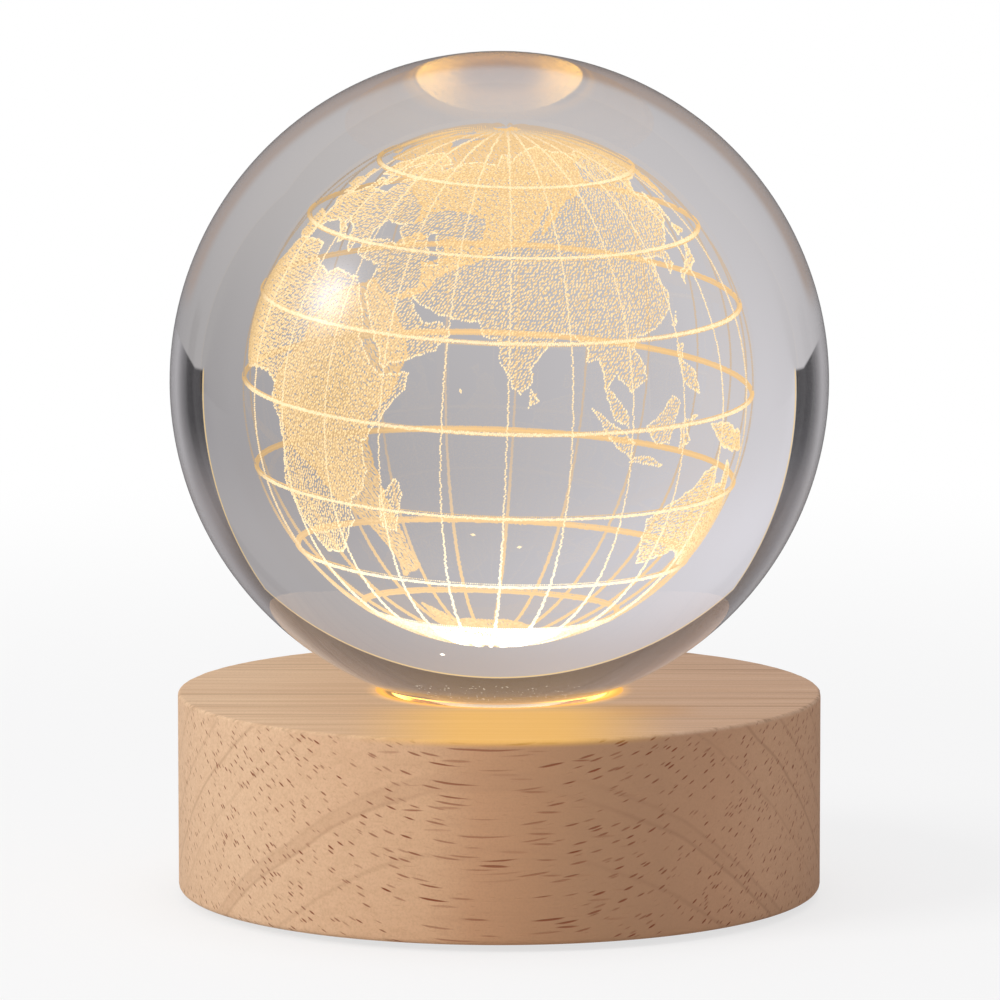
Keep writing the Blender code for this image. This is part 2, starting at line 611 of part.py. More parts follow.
def make_cover_screws(material, parent):
    """Countersunk screws, heads flush with the cover's underside."""
    shank_top = COVER_SCREW_LENGTH - COVER_SCREW_SHANK_RADIUS
    profile = [
        (0.0, 0.0),
        (COVER_SCREW_HEAD_RADIUS, 0.0),
        (COVER_SCREW_SHANK_RADIUS, COVER_SCREW_HEAD_DEPTH),
        (COVER_SCREW_SHANK_RADIUS, shank_top),
        (COVER_SCREW_SHANK_RADIUS * POINT_SHARE, COVER_SCREW_LENGTH),
        (0.0, COVER_SCREW_LENGTH),
    ]
    add_copies("cover_screw", turned(profile, SCREW_SEGMENTS), material, parent,
               [around(turn, COVER_SCREW_RING, WOOD_BOTTOM) for turn in SCREW_TURNS])


def make_feet(material, parent):
    """Soft pads with a rounded lower edge and a flat face on the table."""
    edge = arc(FOOT_RADIUS - FOOT_EDGE_ROUND, FOOT_EDGE_ROUND, FOOT_EDGE_ROUND, -QUARTER_TURN, 0.0,
               EDGE_STEPS)
    profile = [(0.0, 0.0)] + edge + [(FOOT_RADIUS, FOOT_THICKNESS), (0.0, FOOT_THICKNESS)]
    add_copies("foot", turned(profile, FOOT_SEGMENTS), material, parent,
               [around(turn, FOOT_RING, 0.0) for turn in FOOT_TURNS])


def leg_places(height):
    """Four legs of the socket's shell, two on each side."""
    side = (SHELL_WIDTH - SHELL_LEG_THICKNESS) / 2
    middle = (SHELL_REAR_Y + PORT_BOARD_FRONT_Y) / 2
    return [Matrix.Translation((x, middle + y, height))
            for x in (-side, side) for y in (-SHELL_LEG_SPACING / 2, SHELL_LEG_SPACING / 2)]


def make_socket(shell_material, tongue_material, parent):
    """Drawn metal shell with a round-ended mouth and four legs, and the moulded tongue inside it."""
    outline = rounded_outline(SHELL_WIDTH, SHELL_HEIGHT, SHELL_HEIGHT / 2)
    shell = add_part("port_shell", extruded(outline, SHELL_LENGTH), shell_material, parent,
                     facing_rear(SHELL_REAR_Y, PORT_Z))
    mouth_height = SHELL_HEIGHT - 2 * SHELL_WALL
    mouth = extruded(rounded_outline(SHELL_WIDTH - 2 * SHELL_WALL, mouth_height, mouth_height / 2),
                     SHELL_LENGTH - SHELL_WALL + OVERRUN)
    shape_with([shell], "DIFFERENCE", "mouth_cutter", mouth, facing_rear(SHELL_REAR_Y + SHELL_WALL, PORT_Z))
    leg = box(SHELL_LEG_THICKNESS, SHELL_LEG_LENGTH, PORT_Z - PORT_BOARD_BOTTOM)
    shape_with([shell], "UNION", "leg_form", repeated(leg, leg_places(PORT_BOARD_BOTTOM)))

    plug_height = mouth_height - 2 * FIT_GAP
    block_width = SHELL_WIDTH - 2 * (SHELL_WALL + FIT_GAP)
    block = extruded(rounded_outline(block_width, plug_height, plug_height / 2), TONGUE_BLOCK_LENGTH)
    tongue_start = SHELL_REAR_Y + SHELL_WALL + FIT_GAP
    tongue = add_part("port_tongue", block, tongue_material, parent, facing_rear(tongue_start, PORT_Z))
    blade_start = tongue_start + TONGUE_BLOCK_LENGTH / 2
    blade = extruded(rounded_outline(TONGUE_WIDTH, TONGUE_THICKNESS, TONGUE_THICKNESS / 3),
                     SHELL_MOUTH_Y - TONGUE_SET_BACK - blade_start)
    shape_with([tongue], "UNION", "blade_form", blade, facing_rear(blade_start, PORT_Z))


def port_screw_places(height):
    x = PORT_BOARD_WIDTH / 2 - PORT_SCREW_INSET
    y = PORT_BOARD_REAR_Y + PORT_SCREW_INSET
    return [Matrix.Translation((side * x, y, height)) for side in (-1, 1)]


def make_port_board(board_material, screw_material, parent):
    """Small board under the shell, held to the tray by two screws."""
    middle = (PORT_BOARD_FRONT_Y + PORT_BOARD_REAR_Y) / 2
    outline = rounded_outline(PORT_BOARD_WIDTH, PORT_BOARD_LENGTH, PORT_BOARD_CORNER)
    board = add_part("port_board", extruded(outline, PORT_BOARD_THICKNESS), board_material, parent,
                     Matrix.Translation((0.0, middle, PORT_BOARD_BOTTOM)))
    slot = box(SHELL_LEG_THICKNESS + 2 * FIT_GAP, SHELL_LEG_LENGTH + 2 * FIT_GAP,
               PORT_BOARD_THICKNESS + 2 * OVERRUN)
    slots = repeated(slot, leg_places(PORT_BOARD_BOTTOM - OVERRUN))
    shape_with([board], "DIFFERENCE", "leg_slot_cutter", slots)
    hole = pilot_hole(PORT_SCREW_SHANK_RADIUS, PORT_BOARD_THICKNESS + OVERRUN)
    holes = repeated(hole, port_screw_places(PORT_BOARD_BOTTOM))
    shape_with([board], "DIFFERENCE", "board_hole_cutter", holes)

    length = PORT_BOARD_THICKNESS + 2 * FIT_GAP + TRAY_THICKNESS
    screw = pan_screw(PORT_SCREW_HEAD_RADIUS, PORT_SCREW_HEAD_HEIGHT, PORT_SCREW_SHANK_RADIUS, length)
    head_top = PORT_BOARD_TOP + FIT_GAP + PORT_SCREW_HEAD_HEIGHT
    downward = Matrix.Rotation(math.radians(180), 4, "X")
    add_copies("port_screw", screw, screw_material, parent,
               [place @ downward for place in port_screw_places(head_top)])


def make_port_holder(material, parent):
    """Moulded insert: bezel, collar round the shell, and a tray between two side walls."""
    outline = rounded_outline(FLANGE_WIDTH, FLANGE_HEIGHT, FLANGE_CORNER)
    bezel = extruded(outline, FLANGE_THICKNESS)
    face = max(bezel.faces, key=lambda f: f.calc_center_median().z)
    bmesh.ops.bevel(bezel, geom=list(face.edges), offset=FLANGE_EDGE_CHAMFER, segments=1, profile=0.5,
                    affect="EDGES", material=-1)
    holder = add_part("port_holder", bezel, material, parent, facing_rear(FLANGE_REAR_Y, PORT_Z))

    body_height = COLLAR_TOP - TRAY_BOTTOM
    body_length = FLANGE_REAR_Y - PORT_BOARD_REAR_Y
    body = extruded(rounded_outline(BODY_WIDTH, body_height, COLLAR_CORNER),
                    body_length + FLANGE_THICKNESS / 2)
    shape_with([holder], "UNION", "insert_body_form", body,
               facing_rear(PORT_BOARD_REAR_Y, (COLLAR_TOP + TRAY_BOTTOM) / 2))

    bay_length = COLLAR_REAR_Y - PORT_BOARD_REAR_Y + OVERRUN
    bay_y = COLLAR_REAR_Y - bay_length / 2
    bay = box(PORT_BOARD_WIDTH + 2 * FIT_GAP, bay_length, COLLAR_TOP - TRAY_BOTTOM)
    tray_top = TRAY_BOTTOM + TRAY_THICKNESS
    shape_with([holder], "DIFFERENCE", "board_bay_cutter", bay,
               Matrix.Translation((0.0, bay_y, tray_top)))
    wall_trim = box(BODY_WIDTH + 2 * OVERRUN, bay_length, COLLAR_TOP - PORT_Z + OVERRUN)
    shape_with([holder], "DIFFERENCE", "side_wall_cutter", wall_trim,
               Matrix.Translation((0.0, bay_y, PORT_Z)))

    opening_height = SHELL_HEIGHT + 2 * FIT_GAP
    opening = extruded(rounded_outline(SHELL_WIDTH + 2 * FIT_GAP, opening_height, opening_height / 2),
                       FLANGE_FACE_Y - COLLAR_REAR_Y + 2 * OVERRUN)
    shape_with([holder], "DIFFERENCE", "shell_opening_cutter", opening,
               facing_rear(COLLAR_REAR_Y - OVERRUN, PORT_Z))
    hole = pilot_hole(PORT_SCREW_SHANK_RADIUS, TRAY_THICKNESS + OVERRUN)
    shape_with([holder], "DIFFERENCE", "tray_hole_cutter", repeated(hole, port_screw_places(TRAY_BOTTOM)))


def smooth_route(points):
    """Points of a smooth curve through the given ones, a few wire diameters apart."""
    padded = [2 * points[0] - points[1]] + points + [2 * points[-1] - points[-2]]
    fine = []
    for before, start, end, after in zip(padded, padded[1:], padded[2:], padded[3:]):
        for step in range(LEAD_STEPS_PER_SPAN):
            t = step / LEAD_STEPS_PER_SPAN
            fine.append(0.5 * (2 * start + (end - before) * t
                               + (2 * before - 5 * start + 4 * end - after) * t ** 2
                               + (3 * start - before - 3 * end + after) * t ** 3))
    fine.append(points[-1])
    lengths = [0.0]
    for start, end in zip(fine, fine[1:]):
        lengths.append(lengths[-1] + (end - start).length)
    count = max(2, round(lengths[-1] / (LEAD_STEP_DIAMETERS * 2 * LEAD_RADIUS)))
    route = []
    span = 0
    for index in range(count + 1):
        target = lengths[-1] * index / count
        while span < len(fine) - 2 and lengths[span + 1] < target:
            span += 1
        share = (target - lengths[span]) / (lengths[span + 1] - lengths[span])
        route.append(fine[span].lerp(fine[span + 1], share))
    return route


def make_lead(name, side, material, parent):
    """Insulated wire that leaves the socket's board, sags along one side and rises to the light board."""
    pad_x = side * LEAD_PAD_SPACING / 2
    start = Vector((pad_x, PORT_BOARD_REAR_Y + LEAD_PAD_INSET, PORT_BOARD_TOP + FIT_GAP + LEAD_RADIUS))
    edge = Vector((pad_x, PORT_BOARD_REAR_Y, start.z))
    end = Vector((pad_x, -LEAD_EXIT_RADIUS, LED_BOARD_BOTTOM - FIT_GAP))
    rise = Vector((pad_x, end.y, end.z - 2.6 * LEAD_RADIUS))
    room = LED_BOARD_BOTTOM - COVER_TOP
    points = [start, edge]
    for out, along, up in LEAD_ROUTE_SHARES:
        points.append(Vector((pad_x + side * LEAD_BULGE * out, edge.y + (end.y - edge.y) * along,
                              COVER_TOP + room * up)))
    points += [rise, end]
    route = smooth_route(points)
    curve = bpy.data.curves.new(name, "CURVE")
    curve.dimensions = "3D"
    curve.bevel_depth = LEAD_RADIUS
    curve.bevel_resolution = LEAD_BEVEL_RESOLUTION
    curve.use_fill_caps = True
    spline = curve.splines.new("POLY")
    spline.points.add(len(route) - 1)
    for point, place in zip(spline.points, route):
        point.co = (*place, 1.0)
    curve.materials.append(material)
    obj = add_object(name, curve, Matrix.Identity(4))
    obj.parent = parent


clear_scene()

lamp_origin = bpy.data.objects.new("lamp_origin", None)
bpy.context.collection.objects.link(lamp_origin)

clear_glass = finish("clear_glass", (0.95, 0.95, 0.96), 0.0, transmission=1.0)
pale_wood = finish("pale_wood", (0.70, 0.48, 0.32), 0.55)
frosted_acrylic = finish("frosted_acrylic", (1.0, 0.93, 0.80), 0.6)
white_moulding = finish("white_moulding", (0.86, 0.86, 0.84), 0.45)
board_white = finish("board_white", (0.82, 0.84, 0.82), 0.35)
warm_diode = finish("warm_diode", (0.95, 0.75, 0.25), 0.4)
resistor_black = finish("resistor_black", (0.03, 0.03, 0.03), 0.4)
plated_steel = finish("plated_steel", (0.62, 0.62, 0.60), 0.3, metallic=1.0)
socket_steel = finish("socket_steel", (0.70, 0.70, 0.70), 0.25, metallic=1.0)
socket_black = finish("socket_black", (0.02, 0.02, 0.02), 0.5)
black_moulding = finish("black_moulding", (0.025, 0.025, 0.027), 0.5)
red_insulation = finish("red_insulation", (0.55, 0.02, 0.02), 0.45)
black_insulation = finish("black_insulation", (0.02, 0.02, 0.02), 0.45)
cover_black = finish("cover_black", (0.03, 0.03, 0.03), 0.6)
foot_rubber = finish("foot_rubber", (0.10, 0.10, 0.10), 0.85)

make_ball(clear_glass, lamp_origin)
make_base(pale_wood, lamp_origin)
make_window(frosted_acrylic, lamp_origin)
make_holder(white_moulding, lamp_origin)
make_light_board(board_white, warm_diode, resistor_black, lamp_origin)
make_holder_screws(plated_steel, lamp_origin)
make_cover(cover_black, lamp_origin)
make_cover_screws(plated_steel, lamp_origin)
make_feet(foot_rubber, lamp_origin)
make_socket(socket_steel, socket_black, lamp_origin)
make_port_board(board_white, plated_steel, lamp_origin)
make_port_holder(black_moulding, lamp_origin)
make_lead("lead_positive", 1, red_insulation, lamp_origin)
make_lead("lead_negative", -1, black_insulation, lamp_origin)
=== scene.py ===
"""Night light: a clear glass ball with an engraved globe, resting on a turned wooden light base.

Metres, +Z up, the front toward -Y. One section for each piece, in the order in which the light is put
together. The patterns on a piece are reckoned in millimetres.
"""

import math
import random

import bmesh
import bpy
import numpy as np
from mathutils import Matrix, Vector, noise


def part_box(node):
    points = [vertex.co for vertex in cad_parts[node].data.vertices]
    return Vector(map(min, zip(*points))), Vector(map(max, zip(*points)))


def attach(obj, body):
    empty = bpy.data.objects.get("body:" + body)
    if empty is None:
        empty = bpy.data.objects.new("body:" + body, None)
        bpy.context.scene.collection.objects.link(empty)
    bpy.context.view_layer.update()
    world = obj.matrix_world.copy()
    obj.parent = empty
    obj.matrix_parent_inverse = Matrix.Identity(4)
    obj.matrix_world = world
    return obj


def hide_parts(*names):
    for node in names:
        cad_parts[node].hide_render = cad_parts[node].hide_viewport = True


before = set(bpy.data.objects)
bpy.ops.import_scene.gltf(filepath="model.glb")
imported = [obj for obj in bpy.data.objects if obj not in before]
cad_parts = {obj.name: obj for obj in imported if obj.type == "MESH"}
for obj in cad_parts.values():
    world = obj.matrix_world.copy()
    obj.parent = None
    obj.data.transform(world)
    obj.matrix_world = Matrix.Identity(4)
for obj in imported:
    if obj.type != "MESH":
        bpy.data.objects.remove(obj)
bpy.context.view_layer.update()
scene = bpy.context.scene
scene.view_settings.view_transform = "Standard"


# The view: a long lens a little above the middle of the ball, as the object was photographed.
film_width, focal_length = 36.0, 216.9
view_place, look_down = (0.00008, -0.7282, 0.1368), 6.93
camera = bpy.data.objects.new("camera", bpy.data.cameras.new("camera"))
scene.collection.objects.link(camera)
camera.data.sensor_width = film_width
camera.data.lens = focal_length
camera.data.clip_start = 0.01
camera.location = view_place
camera.rotation_euler = (math.radians(90 - look_down), 0, 0)
scene.camera = camera


# The studio: pale paper behind, in front and on the table, a dark gap at either side and a dark ceiling,
# all of which the glass shows upside down. The ball also mirrors a small bright lamp high on the left. Two
# large soft lamps, which the glass doesn't show, light the wood.
class Signal:
    """A shader socket that takes part in Python sums, so that a pattern reads as a formula."""

    def __init__(self, tree, socket):
        self.tree = tree
        self.socket = socket

    @classmethod
    def of(cls, tree, kind, settings=None, sockets=None, output=0):
        """Any node: its settings first, a ramp's stops among them, then its sockets' values or links."""
        node = tree.nodes.new(kind)
        for name, value in (settings or {}).items():
            if name == "stops":
                for _ in value[2:]:
                    node.color_ramp.elements.new(1.0)
                for stop, (position, colour) in zip(node.color_ramp.elements, value):
                    stop.position = position
                    stop.color = (*colour, 1.0)
            else:
                setattr(node, name, value)
        for key, value in (sockets or {}).items():
            if isinstance(value, Signal):
                tree.links.new(value.socket, node.inputs[key])
            else:
                node.inputs[key].default_value = value
        return cls(tree, node.outputs[output]) if node.outputs else node

    def sum(self, operation, first, second=0.0):
        return Signal.of(self.tree, "ShaderNodeMath", {"operation": operation}, {0: first, 1: second})

    def __add__(self, other):
        return self.sum("ADD", self, other)

    def __sub__(self, other):
        return self.sum("SUBTRACT", self, other)

    def __rsub__(self, other):
        return self.sum("SUBTRACT", other, self)

    def __mul__(self, other):
        return self.sum("MULTIPLY", self, other)

    def __truediv__(self, other):
        return self.sum("DIVIDE", self, other)

    def __pow__(self, other):
        return self.sum("POWER", self, other)

    __radd__ = __add__
    __rmul__ = __mul__


def size_of(value):
    """How far a number is from 0."""
    return value.sum("ABSOLUTE", value)


def larger(first, second):
    """The larger of two numbers, the first of which is a pattern."""
    return first.sum("MAXIMUM", first, second)


def step_up(value, low, high):
    """0 below low, 1 above high and a smooth rise between them."""
    return Signal.of(value.tree, "ShaderNodeMapRange", {"interpolation_type": "SMOOTHSTEP"},
                     {0: value, 1: low, 2: high})


def tint(tree, share, first, second):
    """The first colour turning into the second one as share goes from 0 to 1."""
    first, second = (c if isinstance(c, Signal) else (*c, 1.0) for c in (first, second))
    return Signal.of(tree, "ShaderNodeMix", {"data_type": "RGBA"}, {0: share, 6: first, 7: second}, 2)


def parts_of(tree, vector):
    """The three numbers of a vector."""
    split = Signal.of(tree, "ShaderNodeSeparateXYZ", None, {0: vector}).socket.node
    return [Signal(tree, socket) for socket in split.outputs]


world = bpy.data.worlds.new("studio")
scene.world = world
world.use_nodes = True
air = world.node_tree
air.nodes.clear()
# Every direction from the object: across to the right, away to the rear and up, and two slopes made of them
toward = Signal.of(air, "ShaderNodeTexCoord")
across, away, up = parts_of(air, toward)
depth = size_of(away) + 0.001
beside, above = size_of(across) / depth, up / depth

# The paper ends at a slope to either side and at one above, and beyond it are the gaps and the ceiling
paper_side, paper_top = 1.335, 1.09
beyond = larger(beside / paper_side, above / paper_top) - 1
paper_share = 1 - step_up(beyond, -0.010, 0.010)
low_paper = tint(air, step_up(across, -1.0, 0.5), (0.74, 0.72, 0.755), (0.355, 0.34, 0.35))
high_paper = tint(air, step_up(across, -1.0, 0.5), (0.83, 0.81, 0.865), (0.43, 0.41, 0.415))
paper = tint(air, step_up(up, 0.02, 0.36), low_paper, high_paper)
paper = tint(air, step_up(up, 0.45, 0.70) * 0.35, paper, (0.42, 0.33, 0.30))
gap_dark = tint(air, step_up(across, -0.6, 0.6), (0.20, 0.19, 0.205), (0.36, 0.33, 0.34))
gap = tint(air, step_up(up, 0.03, 0.42), (0.008, 0.007, 0.009), gap_dark)
gap = tint(air, step_up(beside, 1.75, 3.6), gap, (0.55, 0.53, 0.55))
ceiling = tint(air, step_up(up, 0.15, 0.5) * (1 - step_up(beside, 1.2, 2.4)), gap, (0.11, 0.075, 0.055))
room = tint(air, paper_share, ceiling, paper)

# The table, with a browner painted shadow of the block close to it, and the warm line that the lamp draws
# along the paper's edge
table_edge, table_slope = -0.085, 0.6
table_height = table_edge - table_slope * larger(size_of(across) - 0.84, 0.0)
softness = 0.012 + 0.40 * (1 - step_up(beside, 1.05, 1.33))
table_share = step_up(table_height - up, 0.012 - softness, softness)
near_table = tint(air, step_up(across, -0.75, 0.65), (0.60, 0.58, 0.59), (0.575, 0.545, 0.535))
far_table = tint(air, step_up(across, -0.75, 0.65), (0.60, 0.58, 0.595), (0.43, 0.412, 0.41))
table_paint = tint(air, step_up(up, -0.85, -0.15), near_table, far_table)
shaded = (1 - step_up(size_of(away), 0.28, 0.40)) * step_up(0 - up, 0.22, 0.34)
table_paint = tint(air, shaded, table_paint, (0.47, 0.355, 0.29))
room = tint(air, table_share, room, table_paint)
rim_light = step_up(beyond, -0.030, -0.018) * (1 - step_up(beyond, -0.010, 0.0)) * (1 - table_share)
room = tint(air, rim_light * 0.9, room, (1.05, 0.72, 0.27))

# The small lamp, and what each kind of ray sees. A ray that the glass bent counts as glossy too, so a
# mirrored ray is a glossy one that wasn't let through. Toward the rear it sees a dark room, darkest in a
# strip at either side.
lamp_direction, lamp_narrowness = Vector((-0.83, -0.33, 0.45)).normalized(), 95.0
lamp_near = Signal.of(air, "ShaderNodeVectorMath", {"operation": "DOT_PRODUCT"},
                      {0: toward, 1: lamp_direction}, 1)
lamp_glow = larger(lamp_near, 0.0) ** lamp_narrowness + 0.08 * step_up(lamp_near, 0.84, 1.0)
path = Signal.of(air, "ShaderNodeLightPath").socket.node
seen, diffuse, glossy, through = (Signal(air, path.outputs[name]) for name in
                                  ("Is Camera Ray", "Is Diffuse Ray", "Is Glossy Ray", "Is Transmission Ray"))
mirrored = glossy * (1 - through)
flag = step_up(beside, 0.78, 0.88) * (1 - step_up(beside, 1.0, 1.1)) * (1 - step_up(up, 0.05, 0.12))
room = tint(air, mirrored * step_up(away, -0.3, 0.3) * (0.65 + 0.30 * flag), room, (0.0, 0.0, 0.0))
room = tint(air, lamp_glow * mirrored, room, (9.5, 9.5, 10.4))
room = tint(air, diffuse, room, (0.55, 0.55, 0.57))
room = tint(air, seen, room, (1.0, 1.0, 1.0))
sky = Signal.of(air, "ShaderNodeBackground", None, {"Color": room})
Signal.of(air, "ShaderNodeOutputWorld", None, {"Surface": sky})


object_middle = Vector((0, 0, 0.04))


def place_lamp(name, place, size, watts, colour):
    """A square soft lamp, aimed at the middle of the object, that the glass doesn't show as a hard square."""
    lamp = bpy.data.objects.new(name, bpy.data.lights.new(name, "AREA"))
    scene.collection.objects.link(lamp)
    lamp.data.size = size
    lamp.data.energy = watts
    lamp.data.color = colour
    lamp.location = place
    lamp.rotation_euler = (object_middle - Vector(place)).to_track_quat("-Z", "Y").to_euler()
    lamp.visible_glossy = False
    lamp.visible_transmission = False


place_lamp("key_lamp", (-0.80, -0.45, 0.55), 0.5, 5.6, (1.0, 0.985, 0.96))
place_lamp("top_lamp", (0.1, 0.1, 1.0), 0.6, 2.0, (1.0, 0.99, 0.97))


def new_finish(name):
    """An empty material, and its node tree."""
    material = bpy.data.materials.new(name)
    material.use_nodes = True
    material.node_tree.nodes.clear()
    return material, material.node_tree


def surface(tree, sockets):
    """The one shader of a material, with its sockets' values or patterns."""
    shader = Signal.of(tree, "ShaderNodeBsdfPrincipled", None, sockets)
    Signal.of(tree, "ShaderNodeOutputMaterial", None, {"Surface": shader})


def put(name, bm, material, body=None):
    """Makes an object of a finished mesh, smooth but for its sharp edges, and lets it ride on a body."""
    mesh = bpy.data.meshes.new(name)
    bm.to_mesh(mesh)
    bm.free()
    mesh.shade_smooth()
    mesh.set_sharp_from_angle(angle=math.radians(40))
    mesh.materials.append(material)
    obj = bpy.data.objects.new(name, mesh)
    scene.collection.objects.link(obj)
    if body:
        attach(obj, body)
    return obj


def spot_on(tree):
    """Where a point of the piece is, in metres."""
    return Signal.of(tree, "ShaderNodeTexCoord", output=3)


# The floor is white to the camera and matte under the object, where it keeps the object's shadow
floor_white, tree = new_finish("floor_white")
reach = Signal.of(tree, "ShaderNodeVectorMath", {"operation": "LENGTH"}, {0: spot_on(tree)}, 1)
seen = Signal.of(tree, "ShaderNodeLightPath")
plain = seen * (0.7 + 0.3 * step_up(reach, 0.10, 0.45))
matte = Signal.of(tree, "ShaderNodeBsdfDiffuse", None, {"Color": (0.8, 0.8, 0.8, 1.0)})
white = Signal.of(tree, "ShaderNodeEmission", None, {"Color": (1.0, 1.0, 1.0, 1.0)})
mixed = Signal.of(tree, "ShaderNodeMixShader", None, {0: plain, 1: matte, 2: white})
Signal.of(tree, "ShaderNodeOutputMaterial", None, {"Surface": mixed})
bm = bmesh.new()
bmesh.ops.create_circle(bm, cap_ends=True, segments=64, radius=6.0)
floor = put("floor", bm, floor_white)
floor.visible_glossy = False
floor.visible_transmission = False


# Wooden block: pale rubberwood, turned on a lathe, sanded and left matte. Its grain runs from left to right
# and the tree's rings slope down to the rear, so a pore is a long dash in the middle of the front and a short
# one at its ends. The lamp inside lights the seat's lip, and through the ball the wood in front of it; that
# light is painted into the wood's colour and glow, as is light that falls off from the left side to the
# right.
def turned(points, steps):
    """Solid of revolution about Z from a closed chain of (radius, height) points."""
    bm = bmesh.new()
    verts = [bm.verts.new((radius, 0.0, height)) for radius, height in points]
    edges = [bm.edges.new(pair) for pair in zip(verts, verts[1:] + verts[:1])]
    bmesh.ops.spin(bm, geom=verts + edges, cent=(0, 0, 0), axis=(0, 0, 1), angle=math.tau, steps=steps,
                   use_merge=True)
    bmesh.ops.remove_doubles(bm, verts=bm.verts, dist=0.000002)
    bmesh.ops.recalc_face_normals(bm, faces=bm.faces)
    return bm


def ring_edges(bm, radius, height):
    """The edges that run round the axis at one radius and height."""
    def on_ring(vert):
        return abs(math.hypot(vert.co.x, vert.co.y) - radius) < 0.00002 and abs(vert.co.z - height) < 0.00002
    return [edge for edge in bm.edges if all(on_ring(vert) for vert in edge.verts)]


def soften(bm, edges, width, segments):
    """Rounds edges evenly."""
    bmesh.ops.bevel(bm, geom=edges, offset=width, segments=segments, profile=0.5, affect="EDGES", material=-1)


def rounded_plate(width, height, corner, start, end):
    """A plate that stands across Y from start to end, centred on X and Z, with its long edges rounded."""
    bm = bmesh.new()
    bmesh.ops.create_cube(bm, size=1.0)
    bmesh.ops.scale(bm, verts=bm.verts, vec=(width, end - start, height))
    bmesh.ops.translate(bm, verts=bm.verts, vec=(0, (start + end) / 2, 0))
    long_edges = [e for e in bm.edges if abs((e.verts[0].co - e.verts[1].co).y) > 0.5 * (end - start)]
    soften(bm, long_edges, corner, 6)
    return bm


def cut_away(obj, bm):
    """Takes a helper shape out of an object for good."""
    mesh = bpy.data.meshes.new("cutter")
    bm.to_mesh(mesh)
    bm.free()
    cutter = bpy.data.objects.new("cutter", mesh)
    scene.collection.objects.link(cutter)
    modifier = obj.modifiers.new("cut", "BOOLEAN")
    modifier.object = cutter
    made = bpy.data.meshes.new_from_object(obj.evaluated_get(bpy.context.evaluated_depsgraph_get()))
    obj.modifiers.clear()
    obj.data = made
    bpy.data.objects.remove(cutter)


block_radius, block_bottom, block_top = 0.03925, 0.0008, 0.0250
bore, lip_radius, lip_foot, lip_low = 0.0120, 0.0152, 0.024333, 0.0243
lip_curve, lip_middle = 0.0080, Vector((0.01521, 0.0, 0.0170))
cover_room, cup_room, window_room = 0.03225, 0.02725, 0.0160
cover_roof, cup_roof, window_roof = 0.0031, 0.0138, 0.0184
rim_low, rim_inside = 0.0244, 0.0385
socket_low, socket_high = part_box("port_holder")
socket_middle, pocket_play, pocket_corner = 0.00923, 0.0006, 0.0023
tunnel_width, tunnel_height, tunnel_corner, tunnel_middle = 0.0152, 0.00796, 0.0011, 0.00848

bm = turned([(bore, lip_foot), (lip_radius, block_top), (block_radius, block_top),
             (block_radius, block_bottom), (cover_room, block_bottom), (cover_room, cover_roof),
             (cup_room, cover_roof), (cup_room, cup_roof), (window_room, cup_roof),
             (window_room, window_roof), (bore, window_roof)], 240)
seat_edges = [e for e in bm.edges if abs(e.verts[0].co.z - e.verts[1].co.z) > 0.0005
              and min(v.co.z for v in e.verts) > lip_low]
bmesh.ops.subdivide_edges(bm, edges=seat_edges, cuts=5)
for vert in bm.verts:
    reach = math.hypot(vert.co.x, vert.co.y)
    if bore - 0.00001 < reach < lip_middle.x and vert.co.z > lip_low:
        vert.co.z = lip_middle.z + math.sqrt(lip_curve ** 2 - (reach - lip_middle.x) ** 2)
soften(bm, ring_edges(bm, block_radius, block_top), 0.00042, 4)
soften(bm, ring_edges(bm, block_radius, block_bottom), 0.00070, 4)
for vert in bm.verts:
    if vert.co.z > rim_low and math.hypot(vert.co.x, vert.co.y) > rim_inside:
        rough = noise.noise(vert.co * 900) + noise.noise(vert.co * 2600)
        torn = max(0.0, noise.noise(vert.co * 260 + Vector((7, 3, 1))) - 0.35)
        vert.co -= Vector((vert.co.x, vert.co.y, vert.co.z / 3)) * (0.0011 * abs(rough) + 0.008 * torn)


def millimetres(place):
    """The three numbers of a place, in millimetres."""
    return [1000 * part for part in parts_of(place.tree, place)]


def joined(x, y, z):
    """A vector of three numbers, the first of which is a pattern."""
    return Signal.of(x.tree, "ShaderNodeCombineXYZ", None, {0: x, 1: y, 2: z})


def from_axis(x, y):
    """How far a point is from the upright axis through the block and the ball."""
    return Signal.of(x.tree, "ShaderNodeVectorMath", {"operation": "LENGTH"}, {0: joined(x, y, 0.0)}, 1)


def mottle(place, scale, detail):
    """Soft noise, with spots about 1 / scale wide."""
    return Signal.of(place.tree, "ShaderNodeTexNoise", None,
                     {"Vector": place, "Scale": scale, "Detail": detail})


def drawn_out(place, scale, detail):
    """Noise drawn out along the direction whose scale is the smallest."""
    return mottle(Signal.of(place.tree, "ShaderNodeMapping", None, {0: place, "Scale": scale}), 1.0, detail)


def dots(place):
    """One dot to each cell: how far a point is from its dot, and three numbers of that dot's own."""
    node = Signal.of(place.tree, "ShaderNodeTexVoronoi", None, {"Vector": place, "Scale": 1.0}).socket.node
    distance, colour = (Signal(place.tree, node.outputs[name]) for name in ("Distance", "Color"))
    return distance, parts_of(place.tree, colour)


def relief(height, strength, distance):
    """A pattern felt as a height."""
    return Signal.of(height.tree, "ShaderNodeBump", None,
                     {"Strength": strength, "Distance": distance, "Height": height})


pale_wood, tree = new_finish("pale_wood")
spot = spot_on(tree)
x, y, z = millimetres(spot)
drift = mottle(spot, 55.0, 2.0)
bow = mottle(spot, 42.0, 1.0)
lean_back, lean_up, ring_bend = 0.669, 0.743, 0.0020
ring = lean_back * y + lean_up * z + ring_bend * x * x + 2.0 * (drift - 0.5)
along_ring = lean_up * y - lean_back * z + 2.0 * (bow - 0.5)
reach = from_axis(x, y)
side_share = (1 - step_up(z, 24.4, 24.9)) * step_up(reach, 30.0, 34.0)
top_share = 1 - side_share

